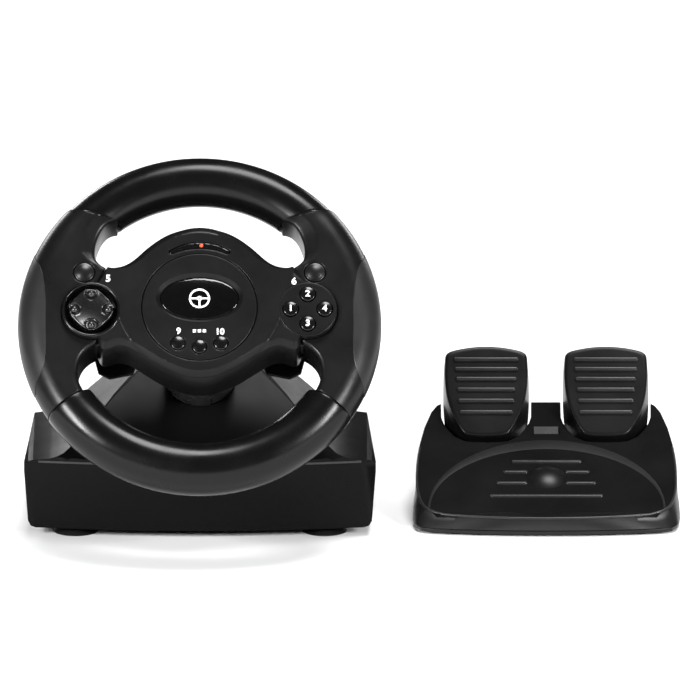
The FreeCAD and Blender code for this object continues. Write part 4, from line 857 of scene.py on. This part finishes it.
for node, at in CENTRE_SPOTS.items():
    cap(node, CENTRE_CAP, at, 56)
for node, step in POD_STEP.items():
    at = POD + step
    cap(node, POD_CAP, at, 60)
    glyphs(node + "_print", node[-1], 6.3, at, 24.12, node + "_body", 0.035)
for node, side in (("button_5", -1), ("button_6", 1)):
    cap(node, THUMB_CAP, (side * THUMB[0], THUMB[1]), 72, "cap_satin")
for text, size, at, lift, weight in (("5", 6.8, (-63.0, 26.4), 0.05, 0.035),
                                     ("6", 6.8, (65.1, 24.4), 0.05, 0.035),
                                     ("9", 6.2, (-14.3, -12.9), 0.30, 0.03),
                                     ("10", 6.2, (14.6, -13.3), 0.30, 0.03)):
    glyphs("print_" + text, text, size, at, FACE + lift, "wheel", weight)
for index in range(3):
    x = (index - 1) * 3.4
    stroke("print_menu_%d" % index, [(x - 1.1, -12.9), (x + 1.1, -12.9)], 2.2, FACE + 0.36)

# button pod on the right
pod_holes = [(circle(POD + step, 5.55, 44), 0.55) for step in POD_STEP.values()]
pod_disc = pillow(halves(arc(*POD, POD_R, 0, 360, 96), 0.9), level(FACE + 0.1), 12.0, pod_holes, grid=2.4,
                  rings=5)
on_wheel("button_pod_skin", pod_disc, "hub_satin", ["button_pod"], 32, "shell_dark")

# direction pad on the left: a ring and bowl, and the rocker with four thumb bumps
DPAD = POD * (-1, 1)
DISH = [(POD_R, 12.0), (POD_R, 21.3), (20.0, 21.85), (19.5, 22.1), (18.9, 22.1), (18.5, 21.8), (18.2, 21.0),
        (17.6, 18.6), (16.9, 16.4), (15.4, 15.6), (12, 15.3), (8.6, 15.2), (8.5, 11.5)]
BUMP = [(AXIS, 23.8), (0.8, 23.7), (1.6, 23.3), (2.3, 22.6), (2.75, 21.7), (2.9, 20.9), (2.9, 19.6)]
ROCKER_R, BUMP_AT = 15.2, 11.6
on_wheel("dpad_dish_skin", lathe(DISH, DPAD, 96), "cap_black", ["dpad_dish"], slot="gloss_black")
rocker_edge = []
for i in range(8):
    for swing in (-13.0, -6.5, 0.0, 6.5, 13.0):
        a = math.radians(45 * i + swing)
        reach = ROCKER_R if i % 2 == 0 else ROCKER_R * 0.905 / max(math.cos(math.radians(swing)), 0.9)
        rocker_edge.append((DPAD[0] + reach * math.cos(a), DPAD[1] + reach * math.sin(a)))
bumps = [DPAD + BUMP_AT * np.array([math.cos(a), math.sin(a)]) for a in np.radians((0, 90, 180, 270))]


def rocker_top(pts):
    """A shallow bowl with a hollow round each thumb bump."""
    rho = np.hypot(*(pts - DPAD).T)
    z = 20.9 + 0.0105 * rho ** 2
    for spot in bumps:
        d = np.hypot(*(pts - spot).T)
        z = z - 1.3 * smoothstep(-d, -4.7, -3.4)
    return z


bump_rings = np.vstack([circle(spot, r, 30) for spot in bumps for r in (3.1, 3.5, 3.9, 4.3, 4.7)])
rocker = pillow(halves(closed_line(spline(rocker_edge, 3, closed=True)), 1.4), rocker_top, 17.6,
                grid=1.5, rings=5, extra=bump_rings)
balls = [lathe(BUMP, spot, 32) for spot in bumps]
on_wheel("dpad_rocker_skin", merge(rocker, *balls), "rocker_gloss", ["dpad_rocker"], 40, "cap_black",
         "dpad_body")

# ---------- the base's front edge: a bead whose lighter finish is a painted highlight line
EDGE_R, EDGE_END_R, EDGE_SINK = 1.1, 0.5, 0.75  # the bead's radius, also at its ends, and how deep it lies
ABOVE_SEAM = 0.0006  # metres above the shell's foot, where the front wall is felt for
top_shell = frame["nodes"]["base_top_shell"]
top_low, top_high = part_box("base_top_shell")
edge_z = top_low[2] / MM + 0.15
edge_half = (top_high[0] - top_low[0]) / 2 / MM - 1.4
shell_tree = BVHTree.FromPolygons([top_shell.matrix_world @ v.co for v in top_shell.data.vertices],
                                  [tuple(p.vertices) for p in top_shell.data.polygons])
edge_rows = []
for share in np.linspace(-1.0, 1.0, 41):
    x = share * edge_half
    before = Vector((HUB.x + x * MM, top_low[1] - 0.1, top_low[2] + ABOVE_SEAM))
    spot = shell_tree.ray_cast(before, Vector((0, 1, 0)))[0]
    if spot is not None:
        wall_y = (spot.y - base_low[1]) / MM
        ring = circle((wall_y + EDGE_SINK, edge_z), EDGE_END_R if abs(share) == 1.0 else EDGE_R, 16)
        edge_rows.append(np.column_stack([np.full(len(ring), x), ring]))
new_object("base_front_bead", *ring_loft(edge_rows, True, True), BASE, "base", "base_texture", MAT["edge_grey"],
           sharp=60)

# ---------- pedal unit details
SLOPE_FOOT, KNEE_RUN, KNEE_RISE = 9.8, 101.6, 33.8  # height at the front edge; run and rise to the knee
BACK_RUN, BACK_RISE = 48.4, 15.4                    # from the knee to the back


def slope_height(y):
    """The heel slope: straight up to the foot of the pedals, then a little flatter."""
    if y > KNEE_RUN:
        return SLOPE_FOOT + KNEE_RISE + (y - KNEE_RUN) * BACK_RISE / BACK_RUN
    return SLOPE_FOOT + y * KNEE_RISE / KNEE_RUN


SLOPE_TURN = Matrix.Rotation(math.atan2(KNEE_RISE, KNEE_RUN), 4, "X")


def on_slope(x, y):
    """A frame on the heel slope, its z along the slope's normal."""
    return PEDALS @ Matrix.Translation(Vector((x, y, slope_height(y))) * MM) @ SLOPE_TURN


def rib_bar(name, half, width, height, unit, body):
    """A moulded bar with round ends and a rounded top, in a lighter finish that is a painted highlight."""
    radius = width / 2
    rows = []
    for inset, z in ((-0.35, -0.4), (-0.3, 0.0), (0.0, height * 0.35), (0.25, height * 0.75),
                     (0.55, height * 0.95), (0.8, height)):
        r = max(radius - inset, 0.1)
        loop = np.vstack([arc(half - radius, 0, r, -90, 90, 8), arc(radius - half, 0, r, 90, 270, 8)])
        rows.append(np.column_stack([loop, np.full(len(loop), z)]))
    new_object(name, *ring_loft(rows, False, True), unit, body, "pedal_black", MAT["pedal_rib"], sharp=60)


def heel_sheet(name, rows, mat, sharp):
    """A thin moulded layer on the heel part, as rows of points."""
    new_object(name, np.vstack(rows), strip_faces(len(rows), len(rows[0])), PEDALS, "base", "pedal_black",
               MAT[mat], sharp=sharp)


HEEL_RIBS = [(0, 73.3, 24.3), (-21.4, 61.0, 8.3), (21.4, 61.0, 8.3), (-23.85, 47.9, 10.35),
             (23.85, 47.9, 10.35), (0, 32.7, 38.8)]
for index, (x, y, half) in enumerate(HEEL_RIBS):
    rib_bar("heel_rib_%d" % index, half, 2.6, 0.9, on_slope(x, y), "base")

# a lighter crescent on the heel slope: painted light standing in for the lit slanted wall of a heel recess
CRESCENT_MIDDLE = 17.0
band_turn = np.radians(np.linspace(0.5, 179.5, 90))
outer, inner = (np.stack([a * np.cos(band_turn), CRESCENT_MIDDLE + b * np.sin(band_turn)], 1)
                for a, b in ((82.0, 81.6), (80.6, 71.1)))
middle = (outer + inner) / 2
slope_normal = np.array((0, -KNEE_RISE, KNEE_RUN)) / math.hypot(KNEE_RISE, KNEE_RUN)


def band_row(points, lift):
    return np.array([(x, y, slope_height(y)) for x, y in points]) + slope_normal * lift


heel_sheet("heel_crescent",
           [band_row(outer, -0.25), band_row(outer, 0.12), band_row(outer + (middle - outer) * 0.12, 0.2),
            band_row(inner + (middle - inner) * 0.12, 0.2), band_row(inner, 0.12), band_row(inner, -0.25)],
           "pedal_band", 50)

# the rounded edge of the slope and the lighter band under it
LOW_HALF = np.array([(0, 0), (24, 0.45), (46, 1.9), (66, 4.2), (80, 7.0), (86.5, 10.5), (89.8, 16), (91.6, 26),
                     (92.4, 45), (92.2, 70), (90.4, 95)])
HIGH_HALF = np.array([(0, 0.6), (24, 1.6), (46, 4.6), (62, 8.4), (74, 12.4), (80, 15.4), (84.8, 20), (87.8, 27),
                      (90.2, 40), (91, 56), (90.6, 76), (89, 95)])
BAND_LOW, BAND_HIGH = 4.4, 14.0      # heights of LOW_HALF and HIGH_HALF
FRONT_EDGE, LEDGE_BACK = 13.6, 13.4  # height of the front edge, and how far back the ledge behind it runs
PLAN_MIDDLE = 80                     # y of the middle of the plan
BEAD = 1.0


def along(points, count):
    """Even points by the angle about the middle of the plan."""
    angle = np.arctan2(PLAN_MIDDLE - points[:, 1], points[:, 0])
    want = np.linspace(math.pi / 2, -0.12, count)
    return np.stack([np.interp(-want, -angle, points[:, 0]), np.interp(-want, -angle, points[:, 1])], 1)


low_ring, high_ring = along(spline(LOW_HALF, 6), 90), along(spline(HIGH_HALF, 6), 90)
rim_points = []
for a, b in zip(low_ring, high_ring):
    z = 10.0
    for _ in range(12):  # the outline depends on the height and the height on the outline
        t = (z - BAND_LOW) / (BAND_HIGH - BAND_LOW)
        grown = a + (b - a) * min(t, 1.0)
        if t > 1:
            grown = np.array((0, PLAN_MIDDLE)) + (b - (0, PLAN_MIDDLE)) * (1 - 0.025 * (z - BAND_HIGH) / 46.0)
        z = max(slope_height(grown[1]), FRONT_EDGE)
    rim_points.append((grown[0], grown[1], z))
rim_points = np.array(rim_points)
rim_points = np.vstack([rim_points[::-1] * (-1, 1, 1), rim_points[1:]])
ahead = np.gradient(rim_points, axis=0)
ahead /= np.linalg.norm(ahead, axis=1)[:, None]
outward = np.cross(ahead, (0, 0, 1.0))
outward /= np.linalg.norm(outward, axis=1)[:, None]
upward = np.cross(outward, ahead)
ledge_rim = rim_points[rim_points[:, 1] < LEDGE_BACK - 1.2]
ledge_foot = ledge_rim * (0.992, 0, 0) + (0, LEDGE_BACK, slope_height(LEDGE_BACK) - 0.1)
heel_sheet("heel_ledge",
           [ledge_rim - (0, 0, 0.25), ledge_rim * 0.5 + ledge_foot * 0.5 + (0, 0, 0.12), ledge_foot],
           "pedal_floor", 60)
# the bead along the slope's edge, in the lighter finish: a painted highlight line
bead_rows = [rim_points - outward * 0.7 - upward * 0.62 + BEAD * (outward * math.cos(a) + upward * math.sin(a))
             for a in np.radians(np.linspace(-60, 150, 10))]
heel_sheet("heel_edge_bead", bead_rows, "pedal_rib", 60)
low_line = np.vstack([low_ring[::-1] * (-1, 1), low_ring[1:]])
fore = low_line[:, 1] < 34
out = outward[fore]
band_low = np.column_stack([low_line, np.full(len(low_line), BAND_LOW + 0.3)])[fore] + out * 0.30
band_high = (rim_points - (0, 0, 1.2))[fore] + out * 0.30
heel_sheet("heel_front_band",
           [band_low - out * 0.6, band_low, band_low + (band_high - band_low) * 0.5 + out * 0.7,
            band_high, band_high - out * 0.6], "pedal_front", 50)

PAD_TURN = Matrix.Rotation(math.radians(50.0), 4, "X")
PAD_FOOT = (41.5, 100.0, 45.3)
PAD_MIDDLE = (0, 34)


def both_sides(half):
    """A closed outline from its right half."""
    return spline(half + [(-x, u) for x, u in reversed(half[1:-1])], 4, closed=True)


PAD_FACE = both_sides([(0, 0), (9, 0.4), (14.5, 1.6), (16.8, 3.6), (21.3, 11.7), (25.3, 21.7), (27.8, 32.6),
                       (28.9, 46.6), (28.6, 57), (27.9, 62.6), (25.6, 64.8), (20, 66.6), (10, 68.4), (0, 69)])
PAD_SKIRT = both_sides([(0, -3), (12, -2.7), (19, -1.2), (24, 2.2), (26.8, 8), (28.6, 17), (29.5, 30),
                        (29.6, 46), (29.2, 58), (28.4, 64), (26, 67), (20, 69), (10, 70.8), (0, 71.4)])
PAD_LIP = ((0.0, 0.16), (0.12, 0.16), (0.5, 0.16), (0.9, 0.15), (0.955, 0.10), (0.975, -0.15), (0.99, -0.75),
           (1.0, -1.6), (1.004, -2.4))  # share of the outline, height


def pad_skin(name, unit, body):
    """The pad's moulded face and skirt, just proud of the moulding that carries it."""
    rows = []
    for shrink, z in PAD_LIP:
        rows.append(np.column_stack([PAD_FACE[:, 0] * shrink,
                                     33 + (PAD_FACE[:, 1] - 33) * (shrink + (1 - shrink) * 0.1),
                                     np.full(len(PAD_FACE), z)]))
    for t in (0.12, 0.35, 0.6, 0.85, 1.0):
        mixed = PAD_FACE + (PAD_SKIRT - PAD_FACE) * t
        out = mixed + (mixed - PAD_MIDDLE) * 0.006
        rows.append(np.column_stack([out, np.full(len(out), -2.4 - 15.7 * t)]))
    turned = PAD_SKIRT - (PAD_SKIRT - PAD_MIDDLE) * 0.05
    rows.append(np.column_stack([turned, np.full(len(turned), -18.3)]))
    new_object(name, *ring_loft(rows, True, False), unit, body, "pedal_black", MAT["pedal_pad"], sharp=50)


# distance up the pad, half length
PAD_RIBS = ((58.4, 22.4), (51.0, 21.8), (43.4, 21.0), (35.3, 20.2), (26.8, 19.4), (18.0, 18.4))
for label, side in (("brake", -1), ("gas", 1)):
    pad_frame = PEDALS @ Matrix.Translation(Vector((side * PAD_FOOT[0], *PAD_FOOT[1:])) * MM) @ PAD_TURN
    pad_skin(label + "_pad_skin", pad_frame, label + "_body")
    for index, (u, half) in enumerate(PAD_RIBS):
        rib_bar("%s_rib_%d" % (label, index), half + 0.3, 3.0, 1.5,
                pad_frame @ Matrix.Translation((0, u * MM, 0)), label + "_body")

# ---------- camera, floor and light
scene.view_settings.view_transform = "Standard"
ELEVATION = math.radians(15.0)
AIM = Vector((0.0005, 0.0, 0.1247))
DISTANCE, SENSOR, PICTURE_WIDTH = 20.0, 36.0, 0.4834  # metres, millimetres, metres across at the aim
FLOOR_HALF = 30  # metres
cam_data = bpy.data.cameras.new("camera")
cam_data.sensor_width = SENSOR
cam_data.lens = SENSOR * DISTANCE / PICTURE_WIDTH
cam_data.clip_end = 50
cam = bpy.data.objects.new("camera", cam_data)
cam.location = AIM + Vector((0, -math.cos(ELEVATION), math.sin(ELEVATION))) * DISTANCE
cam.rotation_euler = (math.radians(90) - ELEVATION, 0, 0)
scene.collection.objects.link(cam)
scene.camera = cam

floor_mesh = bpy.data.meshes.new("floor")
floor_mesh.from_pydata([(x * FLOOR_HALF, y * FLOOR_HALF, 0) for x, y in ((-1, -1), (1, -1), (1, 1), (-1, 1))],
                       [], [(0, 1, 2, 3)])
floor = bpy.data.objects.new("floor", floor_mesh)
scene.collection.objects.link(floor)
floor_mesh.materials.append(material("floor_paper", (0.93, 0.93, 0.93), 0.9, mottle=0.01, mottle_scale=3,
                                     spec=0.1))


def area_light(name, location, target, size, size_y, power):
    data = bpy.data.lights.new(name, "AREA")
    data.shape = "RECTANGLE"
    data.size, data.size_y, data.energy = size, size_y, power
    obj = bpy.data.objects.new(name, data)
    obj.location = location
    obj.rotation_euler = (Vector(target) - Vector(location)).to_track_quat("-Z", "Y").to_euler()
    scene.collection.objects.link(obj)


world = bpy.data.worlds.new("studio")
world.use_nodes = True
world.node_tree.nodes["Background"].inputs["Color"].default_value = (1, 1, 1, 1)
world.node_tree.nodes["Background"].inputs["Strength"].default_value = 0.05
scene.world = world
sun_data = bpy.data.lights.new("overhead", "SUN")
sun_data.energy = 3.1
sun_data.angle = math.radians(26)
sun = bpy.data.objects.new("overhead", sun_data)
sun.rotation_euler = (math.radians(-3), math.radians(7), 0)
scene.collection.objects.link(sun)
area_light("left_box", (-1.30, -1.35, 0.80), (-0.1, 0, 0.12), 0.26, 0.6, 44)
area_light("right_box", (1.30, -1.35, 0.80), (0.02, 0, 0.12), 0.26, 0.6, 40)
area_light("left_back_box", (-1.1, 1.9, 0.75), (-0.1, 0, 0.1), 0.9, 0.5, 15)
area_light("right_back_box", (1.1, 1.9, 0.75), (0.1, 0, 0.1), 0.9, 0.5, 11)
